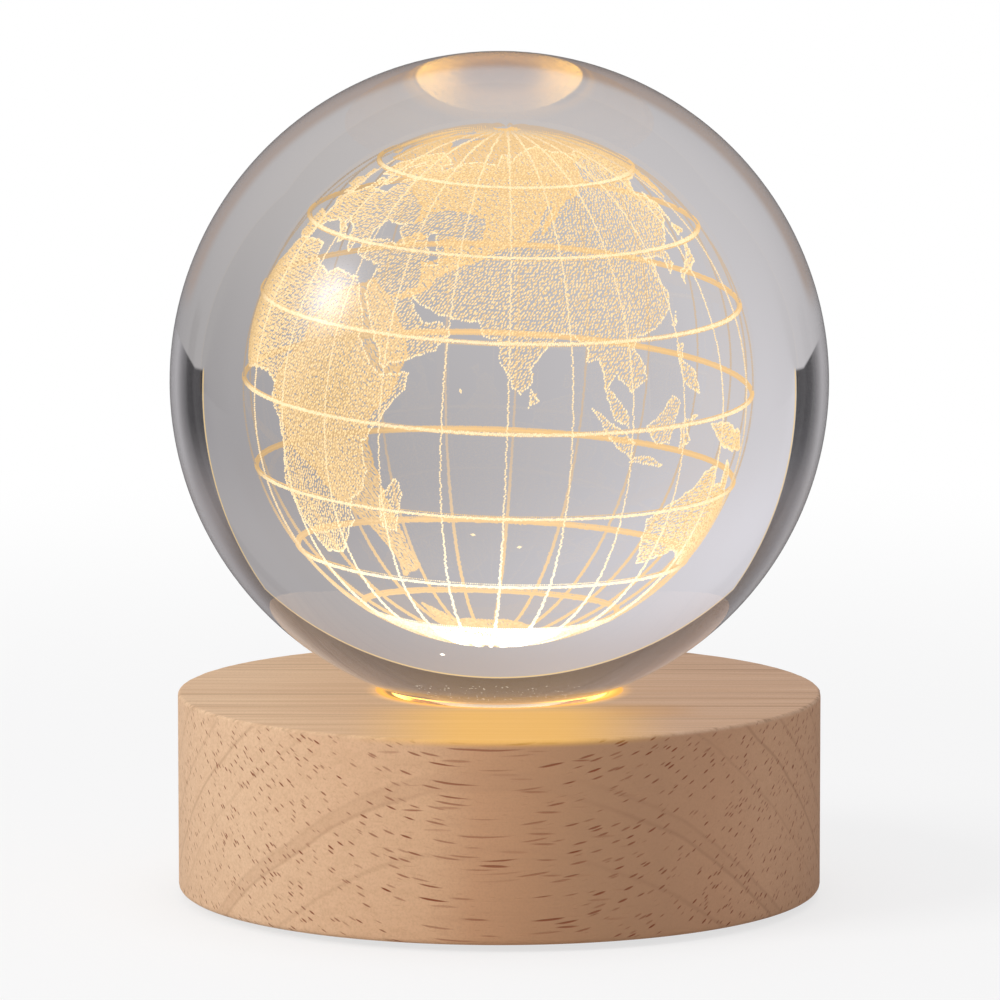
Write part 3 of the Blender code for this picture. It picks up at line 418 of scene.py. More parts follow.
fibre = drawn_out(spot, (45, 1900, 1900), 3.0)
streak = drawn_out(spot, (16, 620, 620), 2.0)
long_line = drawn_out(spot, (7, 1150, 1150), 2.0)
cloud = mottle(spot, 45.0, 2.0)
sand = mottle(spot, 3600.0, 2.0)

# Late wood: for each dark line its place across the rings, its half width and its strength
late_lines = ((-17.3, 0.40, 0.60), (-11.8, 0.35, 0.80), (-10.3, 0.35, 0.55), (-1.9, 0.30, 0.45),
              (2.7, 0.35, 0.95), (6.9, 0.40, 0.60), (12.6, 0.50, 0.45), (19.0, 0.35, 0.70),
              (22.4, 0.50, 0.40), (30.1, 0.40, 0.60), (37.2, 0.45, 0.50))
late_line = 0.0
for place, width, weight in late_lines:
    late_line = weight * (1 - step_up(size_of(ring - place), 0.0, width)) + late_line
late_line = late_line * (0.30 + 0.70 * step_up(size_of(x), 5.0, 15.0))
late_band = step_up(ring, -12.0, -11.6) * (1 - step_up(ring, -10.6, -10.2))

# Pores follow the grain and the rings, further dashes fill the middle of the front, and rays cross the rings
pore_length, pore_row, pore_gap = 20, 1.5, 0.36
pore_far, (kind, darkness, _) = dots(joined(x / pore_length, ring / pore_row, along_ring / pore_gap))
pore = 1 - step_up(pore_far, 0.16, 0.30)
pore = pore * step_up(kind, 0.08, 0.12) * (0.35 + 0.65 * darkness) * (0.03 + 0.97 * side_share)
dash_length, dash_row, dash_gap = 9, 4, 0.8
dash_far, (dash_dark, _, _) = dots(joined(x / dash_length, y / dash_row, (z + 1.2 * (bow - 0.5)) / dash_gap))
dash = (1 - step_up(dash_far, 0.12, 0.24)) * (0.10 + 0.75 * dash_dark)
pore = larger(pore, dash * (1 - step_up(size_of(x), 9.0, 17.0)) * side_share)
ray_length, ray_row, ray_gap = 2.4, 2.6, 0.34
ray_far, _ = dots(joined(x / ray_length, ring / ray_row, along_ring / ray_gap))
ray = (1 - step_up(ray_far, 0.06, 0.22)) * side_share

# The block's colour: the wood's own colour with painted light and shade, palest at its left and deepest a
# little right of its middle
light_falloff_start, light_falloff_length = 30, 63
wood_and_painted_light = Signal.of(tree, "ShaderNodeValToRGB",
                 {"stops": [(0.0, (0.735, 0.500, 0.318)), (0.32, (0.675, 0.410, 0.238)),
                            (0.43, (0.575, 0.315, 0.170)), (0.54, (0.520, 0.280, 0.148)),
                            (0.65, (0.473, 0.262, 0.142)), (0.77, (0.475, 0.263, 0.147)),
                            (0.90, (0.535, 0.295, 0.168)), (1.0, (0.580, 0.335, 0.198))]},
                 {0: (x + light_falloff_start + 9 * (cloud - 0.5)) / light_falloff_length})
# Painted light: the top is painted paler toward its left, like the sides
painted_lit_left_top = tint(tree, step_up(x, -36.0, -14.0), (0.81, 0.57, 0.365), (0.73, 0.49, 0.295))
wood_and_painted_light = tint(tree, 0.75 * top_share, wood_and_painted_light, tint(tree, step_up(x, -5.0, 25.0), painted_lit_left_top, (0.69, 0.475, 0.33)))
wood_and_painted_light = tint(tree, step_up(sand, 0.40, 0.72) * 0.22, wood_and_painted_light, (0.40, 0.22, 0.12))
wood_and_painted_light = tint(tree, late_band * 0.22 * side_share, wood_and_painted_light, (0.45, 0.25, 0.14))
wood_and_painted_light = tint(tree, late_line * (0.34 + 0.16 * step_up(x, 10.0, 20.0)) * side_share, wood_and_painted_light, (0.34, 0.17, 0.09))
wood_and_painted_light = tint(tree, step_up(fibre, 0.36, 0.70) * (0.13 + 0.20 * top_share), wood_and_painted_light, (0.50, 0.285, 0.155))
wood_and_painted_light = tint(tree, step_up(streak, 0.46, 0.76) * (0.14 + 0.20 * top_share), wood_and_painted_light, (0.46, 0.26, 0.14))
wood_and_painted_light = tint(tree, step_up(long_line, 0.55, 0.70) * top_share * (0.38 + 0.3 * step_up(x, -8, 24)), wood_and_painted_light,
            (0.36, 0.21, 0.12))
wood_and_painted_light = tint(tree, ray * 0.16, wood_and_painted_light, (0.42, 0.2, 0.1))
wood_and_painted_light = tint(tree, pore, wood_and_painted_light, (0.235, 0.058, 0.019))

# The lamp's light, painted into the wood's colour and made to glow: thrown on the top in front of the ball,
# round the seat, and brightest on the seat's lip
on_top = step_up(z, 24.0, 24.9)
thrown = (1 - step_up(size_of(x - 1.5), 4.0, 21.0)) * step_up(0 - y, 9.0, 20.0) * on_top
halo = (1 - step_up(reach, 15.0, 17.0)) ** 1.6 * (0.35 + 0.65 * step_up(0 - y, -6.0, 12.0)) * on_top
lip = step_up(reach, 11.0, 12.0) * (1 - step_up(reach, 14.9, 15.3)) * step_up(z, 22.6, 23.6)
inner_edge = 12.2 + 1.9 * step_up(0 - x, 4.0, 10.0) + 1.0 * step_up(x, 4.0, 10.0)
wood_and_painted_light = tint(tree, lip * 0.8, wood_and_painted_light, (0.30, 0.14, 0.03))
wood_and_painted_light = tint(tree, thrown * 0.7, wood_and_painted_light, (0.62, 0.34, 0.10))
# Painted light: an amber patch on the top, right of the ball and in front of it
painted_amber_light = (1 - step_up(size_of(x - 17.5), 2.0, 8.0)) * (1 - step_up(size_of(y + 17.0), 2.0, 6.0)) * on_top
wood_and_painted_light = tint(tree, painted_amber_light * 0.25, wood_and_painted_light, (0.55, 0.25, 0.06))
glow = tint(tree, thrown, (0.0, 0.0, 0.0), (0.26, 0.14, 0.0))
glow = tint(tree, halo, glow, (0.40, 0.19, 0.0))
lit_inside = tint(tree, step_up(size_of(x), 4.0, 11.0), (1.05, 0.54, 0.10), (1.4, 0.70, 0.09))
lit_lip = tint(tree, step_up(reach, 13.4, 14.9), lit_inside, (0.75, 0.36, 0.03))
lit_deep = tint(tree, step_up(size_of(x), 3.0, 10.0), (1.5, 0.82, 0.25), (4.8, 2.6, 0.42))
# Painted shade: a dim ring on the lip, just inside its inner edge at the front
lit_lip = tint(tree, step_up(reach - inner_edge, -0.5, 0.5), (0.16, 0.075, 0.02), lit_lip)
deep = 1 - step_up(reach, 12.9, 13.3)
lit_lip = tint(tree, larger(deep, step_up(y, 2.0, 6.0)), lit_lip, lit_deep)
glow = tint(tree, lip, glow, lit_lip)
felt = 1.0 * fibre + 0.6 * streak - 2.2 * pore - 0.5 * ray
surface(tree, {"Base Color": wood_and_painted_light, "Roughness": 0.50 + 0.22 * fibre, "Specular IOR Level": 0.35,
               "Emission Color": glow, "Emission Strength": 1.0, "Normal": relief(felt, 0.35, 0.00012)})

block = put("wooden_block", bm, pale_wood, "base")
pocket_front = socket_high.y - 0.0019
pocket = rounded_plate(socket_high.x - socket_low.x + pocket_play,
                       2 * (socket_high.z - socket_middle) + pocket_play, pocket_corner, pocket_front, 0.045)
bmesh.ops.translate(pocket, verts=pocket.verts, vec=(0, 0, socket_middle))
cut_away(block, pocket)
tunnel = rounded_plate(tunnel_width, tunnel_height, tunnel_corner, 0.0240, pocket_front + 0.001)
bmesh.ops.translate(tunnel, verts=tunnel.verts, vec=(0, 0, tunnel_middle))
cut_away(block, tunnel)
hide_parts("wood_base")


# Glass ball: solid clear glass, ground and polished all over, 80 mm across. It lies loose in the seat.
ball_radius, glass_index = 0.0400, 1.52
ball_low, ball_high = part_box("glass_ball")
ball_centre = (ball_low + ball_high) / 2

clear_glass, tree = new_finish("clear_glass")
smear = Signal.of(tree, "ShaderNodeTexNoise", None,
                  {"Vector": spot_on(tree), "Scale": 60.0, "Detail": 5.0, "Roughness": 0.7})
surface(tree, {"Base Color": (1.0, 1.0, 1.0, 1.0), "Roughness": step_up(smear, 0.62, 0.8) * 0.012,
               "IOR": glass_index, "Transmission Weight": 1.0})
bm = bmesh.new()
bmesh.ops.create_uvsphere(bm, u_segments=192, v_segments=96, radius=ball_radius)
bmesh.ops.translate(bm, verts=bm.verts, vec=ball_centre)
ball = put("clear_ball", bm, clear_glass, "ball")
ball.visible_shadow = False
ball.visible_diffuse = False
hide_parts("glass_ball")


# Engraved globe: thousands of tiny cracks that a laser made inside the glass, half as wide as the ball. The
# lamp below lights them, the lowest most, and that light is painted on them as glow. The map is drawn out,
# and its rear turned, so that it looks from the front as it does through the real ball.
globe_radius = 0.0202
globe_centre = ball_centre + Vector((-0.0001, 0.0, -0.0003))
facing_longitude, lean_right, lean_forward, rear_turn = 72.8, 2.0, 5.4, 6.2
view_lift, view_distance = 5.8, 0.732
rear_ease, drawn_tall = 0.226, 1.028
globe_turn = (Matrix.Rotation(math.radians(lean_right), 4, "Y")
              @ Matrix.Rotation(math.radians(lean_forward), 4, "X")
              @ Matrix.Rotation(math.radians(-facing_longitude), 4, "Z"))
toward_viewer = Vector((0.0, -math.cos(math.radians(view_lift)), math.sin(math.radians(view_lift))))

coasts = [
    # Europe and Asia with Arabia, India and the far east, from Portugal round by the north
    [(-9, 37), (-9, 43), (-2, 43), (-1, 46), (-5, 48), (-1, 50), (3, 51), (8, 54), (8, 57), (11, 57),
     (11, 54), (20, 54), (22, 57), (24, 59), (30, 60), (22, 60), (21, 63), (25, 65), (22, 66), (17, 62),
     (18, 60), (16, 56), (13, 56), (11, 59), (6, 58), (5, 62), (14, 68), (25, 71), (40, 67), (34, 66),
     (38, 64), (44, 66), (46, 68), (60, 69), (68, 69), (68, 73), (72, 73), (74, 68), (80, 73), (87, 75),
     (104, 78), (113, 74), (130, 71), (140, 73), (160, 70), (178, 69), (190, 66), (178, 62), (170, 60),
     (163, 59), (163, 56), (156, 51), (156, 57), (162, 61), (155, 59), (142, 59), (135, 55), (141, 53),
     (140, 48), (133, 43), (128, 40), (129, 36), (126, 34), (126, 38), (121, 39), (118, 38), (122, 37),
     (119, 35), (122, 30), (120, 26), (114, 22), (108, 21), (106, 18), (109, 14), (109, 11), (105, 9),
     (103, 11), (101, 13), (99, 10), (103, 5), (104, 1), (101, 3), (98, 8), (98, 14), (97, 17), (94, 16),
     (94, 19), (91, 22), (88, 22), (85, 20), (80, 15), (80, 11), (78, 9), (76, 11), (73, 17), (72, 21),
     (69, 22), (67, 25), (61, 25), (57, 26), (54, 27), (51, 28), (48, 30), (50, 27), (51, 25), (54, 24),
     (57, 24), (60, 22), (57, 18), (52, 16), (45, 13), (43.4, 13), (42.8, 16.5), (41, 19.5), (39.3, 21.5),
     (37.6, 24.3), (35.2, 28), (35, 31), (36, 36), (31, 36), (27, 37), (26, 40), (29, 41), (35, 42),
     (41, 41), (37, 45), (39, 47), (33, 46), (31, 47), (28, 44), (28, 41), (23, 40), (23, 37), (20, 40),
     (19, 42), (14, 45), (13, 44), (18, 40), (16, 38), (15, 40), (11, 43), (8, 44), (3, 42), (0, 40),
     (-1, 37), (-5, 36)],
    [(50, 37), (54, 37), (53, 41), (51, 45), (47, 45), (50, 41)],
    # Africa and its large island
    [(-6, 36), (3, 37), (10, 37), (11, 34), (15, 32), (19.5, 30.5), (22, 33), (25, 32), (31, 31),
     (32.3, 29.5), (33.3, 27.5), (35.3, 24), (36.9, 21), (37.1, 18.5), (39.0, 15.3), (42.4, 12),
     (44, 10.8), (51, 12), (50, 8), (46, 3), (42, -2), (40, -5), (41, -11), (40, -15), (35, -20),
     (35, -24), (33, -26), (31, -30), (27, -34), (20, -35), (18, -33), (15, -27), (12, -18), (14.5, -9),
     (12.5, -3), (9.3, 1), (10.3, 4), (6, 6), (-4, 5), (-8, 4), (-13, 8), (-17, 14), (-17, 21), (-13, 27),
     (-10, 30), (-8, 33)],
    [(44, -25), (47, -25), (50, -16), (49, -12), (44, -17)],
    # Islands of the north-west, of Japan and of the far north-east
    [(-5, 50), (1, 51), (0, 53), (-2, 56), (-3, 58), (-6, 58), (-4, 54), (-5, 52)],
    [(-10, 52), (-6, 52), (-6, 55), (-10, 54)],
    [(-22, 64), (-14, 65), (-16, 66), (-22, 66)],
    [(130, 31), (131, 34), (136, 36), (139, 38), (141, 41), (142, 39), (140, 35), (136, 34), (132, 33)],
    [(140, 42), (145, 43), (142, 45)],
    [(142, 46), (144, 50), (142, 54)],
    # Islands of the south-east, with New Guinea
    [(80, 6), (82, 7), (80, 10)],
    [(120, 22), (122, 25), (121, 22)],
    [(95, 5.5), (100, 2), (106, -3), (105, -6), (100, -2)],
    [(105, -7), (114, -8.5), (112, -7), (108, -6)],
    [(109, 1), (113, 3), (117, 7), (119, 5), (117, 1), (116, -4), (110, -2)],
    [(119, -5), (120, 1), (125, 1.5), (121, 0), (123, -4)],
    [(131, -1), (138, -2), (147, -6), (150, -10), (143, -9), (138, -8), (133, -4)],
    [(120, 18), (122, 18), (121, 14), (124, 12), (126, 7), (122, 8), (120, 14)],
    # Australia, its southern island and New Zealand
    [(114, -22), (114, -26), (116, -34), (119, -34), (124, -33), (130, -32), (136, -35), (138, -34),
     (141, -38), (146, -39), (150, -37), (153, -32), (153, -27), (149, -21), (146, -19), (145, -15),
     (142, -11), (141, -17), (137, -16), (136, -12), (131, -12), (128, -15), (122, -18)],
    [(145, -41), (148, -41), (147, -43)],
    [(167, -46), (171, -41), (173, -35), (178, -38), (174, -41), (170, -46)],
    # North America, its northern islands and Greenland
    [(-168, 66), (-160, 71), (-140, 70), (-125, 70), (-110, 68), (-95, 68), (-90, 71), (-85, 69),
     (-82, 67), (-88, 64), (-94, 61), (-93, 58), (-85, 56), (-80, 52), (-78, 56), (-77, 62), (-70, 61),
     (-65, 59), (-60, 55), (-56, 52), (-65, 49), (-60, 46), (-66, 44), (-70, 42), (-74, 40), (-76, 35),
     (-81, 31), (-80, 26), (-83, 29), (-90, 29), (-97, 27), (-97, 21), (-94, 18), (-90, 21), (-87, 21),
     (-89, 16), (-83, 15), (-83, 10), (-77, 8), (-82, 8), (-87, 12), (-95, 16), (-105, 20), (-109, 25),
     (-112, 31), (-114, 31), (-110, 23), (-117, 33), (-121, 36), (-124, 41), (-124, 48), (-130, 54),
     (-138, 59), (-150, 60), (-158, 56), (-165, 54), (-158, 58), (-165, 61)],
    [(-68, 62), (-62, 66), (-75, 73), (-88, 73), (-80, 70), (-73, 65)],
    [(-117, 69), (-102, 69), (-105, 73), (-117, 73)],
    [(-92, 76), (-78, 76), (-62, 82), (-75, 83), (-92, 81)],
    [(-45, 60), (-40, 64), (-22, 70), (-18, 77), (-20, 81), (-35, 83), (-60, 82), (-70, 77), (-58, 75),
     (-53, 68), (-52, 63)],
    [(-84, 22), (-77, 20), (-75, 20), (-80, 23)],
    # South America
    [(-76, 8), (-72, 12), (-62, 10), (-55, 5), (-53, 0), (-48, -2), (-43, -6), (-44, -13), (-46, -21),
     (-51, -26), (-55, -33), (-58, -35), (-62, -39), (-65, -43), (-68, -50), (-66, -55), (-74, -52),
     (-73, -42), (-71, -30), (-70, -18), (-77, -12), (-81, -5), (-80, 1)],
    # Antarctica, closed over the pole
    [(-180, -78), (-150, -77), (-120, -73), (-100, -73), (-75, -73), (-62, -65), (-60, -75), (-40, -78),
     (-20, -70), (0, -64), (30, -62.5), (60, -61.5), (90, -61), (120, -62), (150, -64), (170, -69),
     (190, -78), (190, -90), (-180, -90)],
]


def on_globe(longitude, latitude, radius=globe_radius):
    """Place of a mark, moved along the globe by as much as the ball's surface bends the view of it."""
    rearward = min(1.0, max(0.0, -0.2 - 2.2 * math.cos(math.radians(longitude - facing_longitude))))
    east, north = math.radians(longitude - rear_turn * rearward), math.radians(latitude)
    out = globe_turn @ Vector((math.cos(north) * math.sin(east), -math.cos(north) * math.cos(east),
                               math.sin(north)))
    turn = out.angle(toward_viewer)
    reach = radius * math.sin(turn)
    bend = math.asin(glass_index * reach / ball_radius) - math.asin(reach / ball_radius)
    nearness = math.asin(glass_index * reach / view_distance)
    drawn = turn + bend * min(1.0, 1 + rear_ease * math.cos(turn)) - nearness
    side = (out - math.cos(turn) * toward_viewer).normalized()
    spot = radius * (math.cos(drawn) * toward_viewer + math.sin(drawn) * side)
    return globe_centre + Vector((spot.x, spot.y, drawn_tall * spot.z))


def wander(longitude, latitude):
    """How far the real coast strays from the outline's straight runs, in degrees."""
    east, north = math.radians(longitude), math.radians(latitude)
    spot = Vector((math.cos(north) * math.sin(east), math.cos(north) * math.cos(east), math.sin(north))) * 17
    stretch = 1 / max(0.3, math.cos(north))
    return (0.7 * stretch * noise.noise(spot) + 0.5 * stretch * noise.noise(spot * 2.7),
            0.7 * noise.noise(spot + Vector((40, 0, 0))) + 0.5 * noise.noise(spot * 2.7 + Vector((40, 0, 0))))


def on_land(places):
    """Which (longitude, latitude) places lie inside an odd number of the outlines."""
    east, north = places[:, :1], places[:, 1:]
    inside = np.zeros(len(places), bool)
    for coast in coasts:
        start = np.array(coast, float)
        end = np.roll(start, -1, axis=0)
        crosses = (start[:, 1] > north) != (end[:, 1] > north)
        slope = (end[:, 0] - start[:, 0]) / np.where(end[:, 1] == start[:, 1], 1e-9, end[:, 1] - start[:, 1])
        left = east < start[:, 0] + slope * (north - start[:, 1])
        inside ^= (np.count_nonzero(crosses & left, axis=1) % 2).astype(bool)
    return inside


def engrave(name, marks, material):
    """One piece of glass cracks: a small eight-sided crystal at each mark.

    A mark is its place, its width, its length and its lean.
    """
    bm = bmesh.new()
    bmesh.ops.create_uvsphere(bm, u_segments=4, v_segments=2, radius=1.0)
    crystal = bpy.data.meshes.new("crystal")
    bm.to_mesh(crystal)
    bm.clear()
    for place, width, length, lean in marks:
        out = (place - ball_centre).normalized()
        stand = out.to_track_quat("Y", "Z").to_matrix().to_4x4() @ Matrix.Rotation(lean, 4, "Y")
        copy = crystal.copy()
        copy.transform(Matrix.Translation(place) @ stand @ Matrix.Diagonal((width, width, length, 1.0)))
        bm.from_mesh(copy)
        bpy.data.meshes.remove(copy)
    bpy.data.meshes.remove(crystal)
    piece = put(name, bm, material, "ball")
    piece.visible_shadow = False
    piece.visible_diffuse = False
    return piece


def lit_cracks(name, high_colour, low_colour, amber_share, rear_share, rear_colour):
    """White cracks whose lamp light is painted on as glow: brightest low down, duller at the rear, each
    unlike the next one.
    """
    material, tree = new_finish(name)
    material.cycles.emission_sampling = "NONE"
    spot = spot_on(tree)
    x, y, z = millimetres(spot)
    depth = 1000 * ball_centre.z - z
    grains = mottle(spot, 5200.0, 1.0)
    emitted_light = tint(tree, step_up(depth, 7.0, 19.0), high_colour, low_colour)
    emitted_light = tint(tree, step_up(grains, 0.44, 0.60) * amber_share, emitted_light, (0.72, 0.46, 0.20))
    painted_rear_light = tint(tree, step_up(x, -10.0, -4.0), tuple(0.70 * c for c in rear_colour), rear_colour)
    painted_rear_light = tint(tree, step_up(depth, 5.0, 16.0), painted_rear_light, (1.05, 0.72, 0.38))
    emitted_light = tint(tree, step_up(y, -1.0, 5.0) * rear_share, emitted_light, painted_rear_light)
    # Painted light: the lowest cracks at the front are painted brightest
    painted_brightest = step_up(depth - 0.24 * size_of(x), 11.5, 18.0) * (1 - step_up(y, 1.0, 6.0))
    painted_brightest = painted_brightest * (1 - 0.55 * step_up(grains, 0.50, 0.58))
    emitted_light = tint(tree, painted_brightest, emitted_light, (1.5, 1.36, 1.0))
    emitted_light = tint(tree, step_up(depth, 20.3, 20.9), emitted_light, (2.6, 2.4, 1.9))
    surface(tree, {"Base Color": (0.0, 0.0, 0.0, 1.0), "Roughness": 1.0, "Specular IOR Level": 0.0,
                   "Emission Color": emitted_light, "Emission Strength": 1.0})
    return material


# Land: a jittered grid of marks, of which those inside an outline stay
chance = random.Random(75)
mark_gap = 0.73
places = []
latitude, row = -89.6, 0
while latitude < 89.8:
    step = mark_gap / math.cos(math.radians(latitude))
    longitude = -180 + (row % 2) * step / 2
    while longitude < 180:
        places.append((longitude + chance.uniform(-0.28, 0.28) * step,
                       latitude + chance.uniform(-0.22, 0.22)))
        longitude += step
    latitude += mark_gap
    row += 1
strayed = np.array([(lon + dx, lat + dy) for (lon, lat), (dx, dy) in ((p, wander(*p)) for p in places)])
land = on_land(strayed) | on_land(strayed + (360, 0))
marks = [(on_globe(*place), chance.uniform(0.000085, 0.000105), chance.uniform(0.00019, 0.00025),
          chance.uniform(-0.95, -0.50)) for place, inside in zip(places, land) if inside]
land_cracks = lit_cracks("lit_land", (1.22, 0.87, 0.44), (1.5, 1.17, 0.68), 0.60, 0.65, (0.90, 0.60, 0.30))
engraved_land = engrave("engraved_land", marks, land_cracks)

# Coasts and parallels, and the fainter fringe at both sides of a parallel
coast_gap, line_gap = 0.55, 0.00018
marks = []
for coast in coasts:
    for (lon, lat), (next_lon, next_lat) in zip(coast, coast[1:] + coast[:1]):
        if lat < -85 or next_lat < -85:
            continue
        run = math.hypot((next_lon - lon) * math.cos(math.radians((lat + next_lat) / 2)), next_lat - lat)
        count = max(1, round(run / coast_gap))
        for i in range(count):
            here = (lon + (next_lon - lon) * i / count, lat + (next_lat - lat) * i / count)
            stray = wander(*here)
            place = on_globe(here[0] - stray[0], here[1] - stray[1])
            marks.append((place, 0.00010, 0.00015, chance.uniform(-0.9, 0.2)))
line_radius = globe_radius + 0.00014
fringe = []
for latitude in range(-60, 61, 20):
    count = round(math.tau * globe_radius * math.cos(math.radians(latitude)) / line_gap)
    wide = 1.15 if latitude < -30 else 1.0
    for i in range(2 * count):
        side = 1 if i % 2 else -1
        row = side * 0.13 * wide + chance.uniform(-0.12, 0.12)
        marks.append((on_globe(180 * i / count, latitude + row, line_radius),
                      wide * chance.uniform(0.00010, 0.00013), wide * chance.uniform(0.00013, 0.00017),
                      chance.uniform(-1.0, -0.4)))
        fringe.append((on_globe(180 * (i + 0.5) / count, latitude + side * 0.42 * wide, globe_radius),
                       chance.uniform(0.00007, 0.00010), chance.uniform(0.00009, 0.00013),
                       chance.uniform(-1.0, -0.4)))
line_cracks = lit_cracks("lit_lines", (1.30, 1.02, 0.62), (1.6, 1.34, 0.92), 0.30, 0.92, (0.98, 0.62, 0.27))
engraved_lines = engrave("engraved_lines", marks, line_cracks)
fringe_cracks = lit_cracks("lit_fringe", (1.02, 0.66, 0.30), (1.15, 0.76, 0.34), 0.50, 0.92,
                           (0.90, 0.60, 0.30))
engraved_fringe = engrave("engraved_fringe", fringe, fringe_cracks)

# Meridians, which are finer at the rear and broader in the south
marks = []
for longitude in range(0, 360, 15):
    rear = (1 - math.cos(math.radians(longitude - facing_longitude))) / 2
    latitude = -86.0
    while latitude < 87:
        sway = chance.uniform(-0.19, 0.19) * (1 - 0.6 * rear) / math.cos(math.radians(latitude))
        wide = 1 + 0.4 * min(1.0, max(0.0, (-15 - latitude) / 30)) - 0.12 * rear
        marks.append((on_globe(longitude + sway, latitude, line_radius), 0.00010 * wide,
                      wide * chance.uniform(0.00012, 0.00016), chance.uniform(-0.9, 0.1)))
        latitude += chance.uniform(0.40, 0.54)
meridian_cracks = lit_cracks("lit_meridians", (1.28, 0.98, 0.58), (1.6, 1.34, 0.92), 0.35, 0.95,
                             (0.64, 0.50, 0.38))
engraved_meridians = engrave("engraved_meridians", marks, meridian_cracks)

# Stray marks: four single ones, and fine specks, painted glints of the lamp, close under the ball's surface
# above the seat
speck_radius = 0.0393
marks = [(globe_centre + Vector((x, 0.0, z)), 0.00012, 0.00024, 0.2)
         for x, z in ((-0.0030, -0.0005), (-0.0020, -0.0120), (0.0017, -0.0130), (-0.0046, -0.0224))]
for _ in range(90):
    side = chance.uniform(-0.55, 0.55)
    low = math.asin(chance.uniform(0.385, 0.50))
    out = Vector((math.sin(low) * math.sin(side), -math.sin(low) * math.cos(side), -math.cos(low)))
    marks.append((ball_centre + speck_radius * out, 0.00004, chance.uniform(0.00004, 0.00010), 1.2))
stray_marks = engrave("stray_marks", marks, line_cracks)


# Frosted window: a round disc of milky acrylic in the cup's rebate, lit from below by the six diodes.
frosted_acrylic, tree = new_finish("frosted_acrylic")
spot = spot_on(tree)
x, y, _ = millimetres(spot)
reach = from_axis(x, y)
six_turns = 6 * x.sum("ARCTAN2", y, x)
spokes = six_turns.sum("COSINE", six_turns)
spots = (1 - step_up(size_of(reach - 6.2), 0.0, 4.2)) * (0.7 + 0.3 * spokes)
frost = mottle(spot, 3000.0, 2.0)
light = tint(tree, spots, (0.66, 0.42, 0.19), (1.02, 0.74, 0.40))
light = tint(tree, frost * 0.25, light, (0.75, 0.50, 0.25))
surface(tree, {"Base Color": (0.9, 0.86, 0.78, 1.0), "Roughness": 0.6 + 0.2 * frost, "Emission Color": light,
               "Emission Strength": 1.0, "Normal": relief(frost, 0.3, 0.00003)})


def dress(material, *nodes):
    """Gives CAD pieces their finish."""
    for name in nodes:
        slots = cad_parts[name].data.materials
        slots.clear()
        slots.append(material)


dress(frosted_acrylic, "light_window")


# Moulded pieces: the white cup, the black socket insert and the black cover, out of the same kind of mould.
def moulded(name, colour, roughness, grain):
    """Plastic with the fine spark-eroded texture of its mould and slight flow marks."""
    material, tree = new_finish(name)
    spot = spot_on(tree)
    texture = mottle(spot, grain, 3.0)
    flow = mottle(spot, 90.0, 2.0)
    paler = tuple(min(1.0, 1.25 * c + 0.008) for c in colour)
    worn = tint(tree, step_up(flow, 0.35, 0.75) * 0.5, colour, paler)
    surface(tree, {"Base Color": worn, "Roughness": roughness + 0.15 * (texture - 0.5),
                   "Normal": relief(texture, 0.4, 0.00004)})
    return material


dress(moulded("white_moulding", (0.86, 0.86, 0.84), 0.42, 2500.0), "lamp_holder")
black_moulding = moulded("black_moulding", (0.022, 0.022, 0.024), 0.48, 4200.0)
cover_black = moulded("cover_black", (0.028, 0.028, 0.028), 0.58, 3300.0)
socket_black = moulded("socket_black", (0.018, 0.018, 0.018), 0.40, 5000.0)
dress(black_moulding, "port_holder")
dress(cover_black, "bottom_cover")
dress(socket_black, "port_tongue")


# Boards: glass-cloth boards with white lacquer, whose woven cloth shows faintly at the cut edge and under the
# lacquer.
circuit_board, tree = new_finish("circuit_board")
x, y, _ = millimetres(spot_on(tree))
across_threads, along_threads = 9 * x, 9 * y
weave = across_threads.sum("SINE", across_threads) * along_threads.sum("SINE", along_threads)
lacquer = tint(tree, step_up(weave, 0.1, 0.9) * 0.3, (0.80, 0.82, 0.80), (0.70, 0.73, 0.70))
surface(tree, {"Base Color": lacquer, "Roughness": 0.32 + 0.06 * weave,
               "Normal": relief(weave, 0.15, 0.00004)})
dress(circuit_board, "led_board", "port_board")


# Light diodes: white cups filled with yellow phosphor, lit.
warm_diode, tree = new_finish("warm_diode")
spot = spot_on(tree)
height = 1000 * parts_of(tree, spot)[2]
grains = mottle(spot, 9000.0, 1.0)
phosphor = (1 - step_up(height, 12.42, 12.46)) * step_up(height, 12.3, 12.36)
diode = tint(tree, phosphor, (0.9, 0.88, 0.82), (0.95, 0.68, 0.12))
emitted_light = tint(tree, phosphor, (0.25, 0.2, 0.12), (5.0, 3.6, 1.8))
surface(tree, {"Base Color": diode, "Roughness": 0.35 + 0.2 * grains, "Emission Color": emitted_light,
               "Emission Strength": 1.0})
dress(warm_diode, *[f"led_{i}" for i in range(1, 7)])


# Resistors: black glazed chips with tinned ends.
resistor_black, tree = new_finish("resistor_black")
spot = spot_on(tree)
height = 1000 * parts_of(tree, spot)[2]
grains = mottle(spot, 7000.0, 2.0)
tinned = step_up(height, 12.31, 12.33)
chip = tint(tree, tinned, (0.02, 0.02, 0.02), (0.62, 0.61, 0.58))
surface(tree, {"Base Color": chip, "Metallic": tinned, "Roughness": 0.3 + 0.25 * grains})
dress(resistor_black, *[f"resistor_{i}" for i in range(1, 4)])


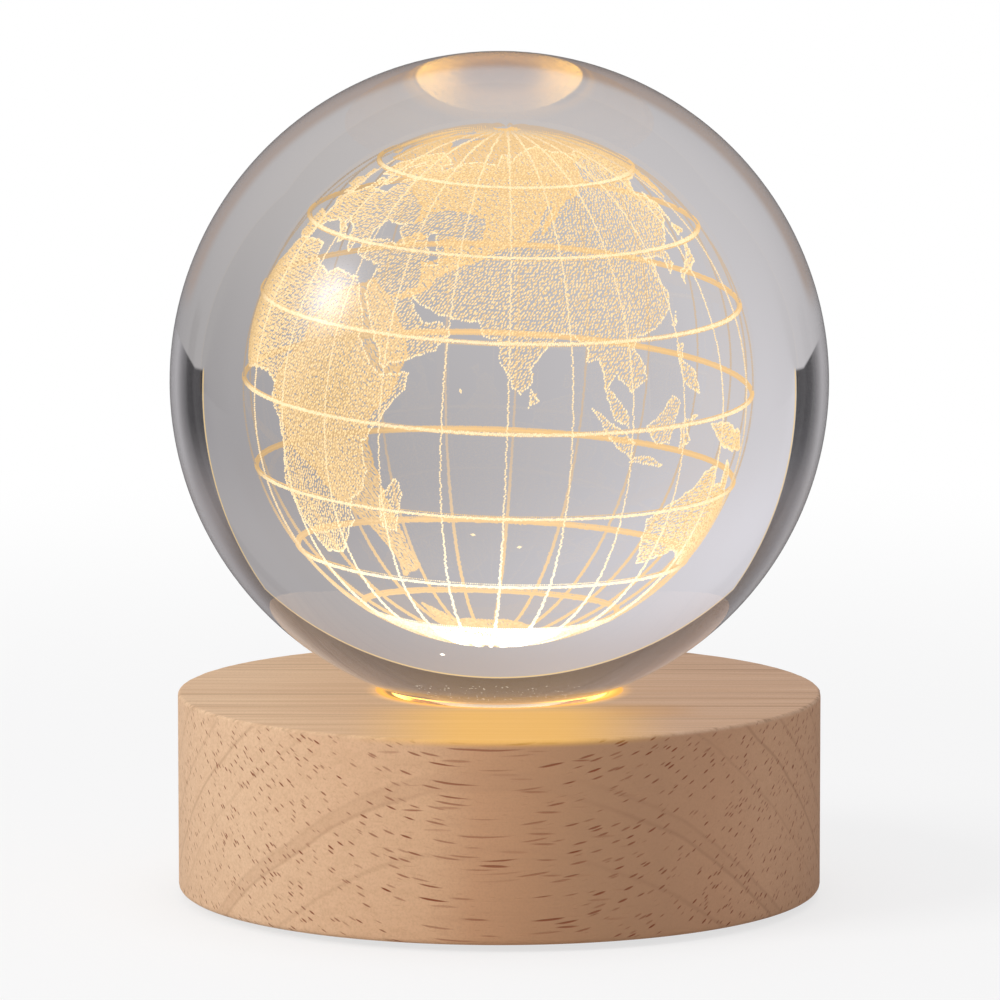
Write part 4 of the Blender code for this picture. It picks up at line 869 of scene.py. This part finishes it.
# Metal: nickel-plated screws and the socket's drawn steel shell.
def plated(name, colour, roughness, scratch):
    """Plated steel with fine drawing marks along one direction."""
    material, tree = new_finish(name)
    lines = drawn_out(spot_on(tree), scratch, 3.0)
    metal = tint(tree, step_up(lines, 0.4, 0.8) * 0.5, colour, tuple(0.7 * c for c in colour))
    surface(tree, {"Base Color": metal, "Metallic": 1.0, "Roughness": roughness + 0.2 * (lines - 0.5),
                   "Normal": relief(lines, 0.15, 0.00002)})
    return material


plated_steel = plated("plated_steel", (0.66, 0.65, 0.62), 0.28, (2500, 2500, 9000))
socket_steel = plated("socket_steel", (0.72, 0.72, 0.72), 0.22, (6000, 400, 6000))
dress(plated_steel, *[f"holder_screw_{i}" for i in (1, 2, 3)], *[f"cover_screw_{i}" for i in (1, 2, 3)],
      "port_screw_1", "port_screw_2")
dress(socket_steel, "port_shell")


# Feet: soft round pads, glued in shallow recesses of the cover.
foot_rubber, tree = new_finish("foot_rubber")
spot = spot_on(tree)
pits = mottle(spot, 2400.0, 3.0)
dust = mottle(spot, 500.0, 4.0)
rubber = tint(tree, step_up(dust, 0.5, 0.8) * 0.5, (0.07, 0.07, 0.072), (0.16, 0.155, 0.15))
surface(tree, {"Base Color": rubber, "Roughness": 0.8 + 0.15 * (pits - 0.5),
               "Normal": relief(pits, 0.4, 0.00005)})
dress(foot_rubber, *[f"foot_{i}" for i in (1, 2, 3, 4)])


# Wires: stranded copper in soft extruded insulation, red and black.
def insulation(name, colour):
    """Soft plastic drawn over the strands, with faint drag marks of the die."""
    material, tree = new_finish(name)
    drag = mottle(spot_on(tree), 1500.0, 2.0)
    skin = tint(tree, step_up(drag, 0.4, 0.8) * 0.4, colour, tuple(0.6 * c + 0.01 for c in colour))
    surface(tree, {"Base Color": skin, "Roughness": 0.42 + 0.12 * (drag - 0.5),
                   "Normal": relief(drag, 0.2, 0.00003)})
    return material


dress(insulation("red_insulation", (0.50, 0.02, 0.02)), "lead_positive")
dress(insulation("black_insulation", (0.02, 0.02, 0.02)), "lead_negative")
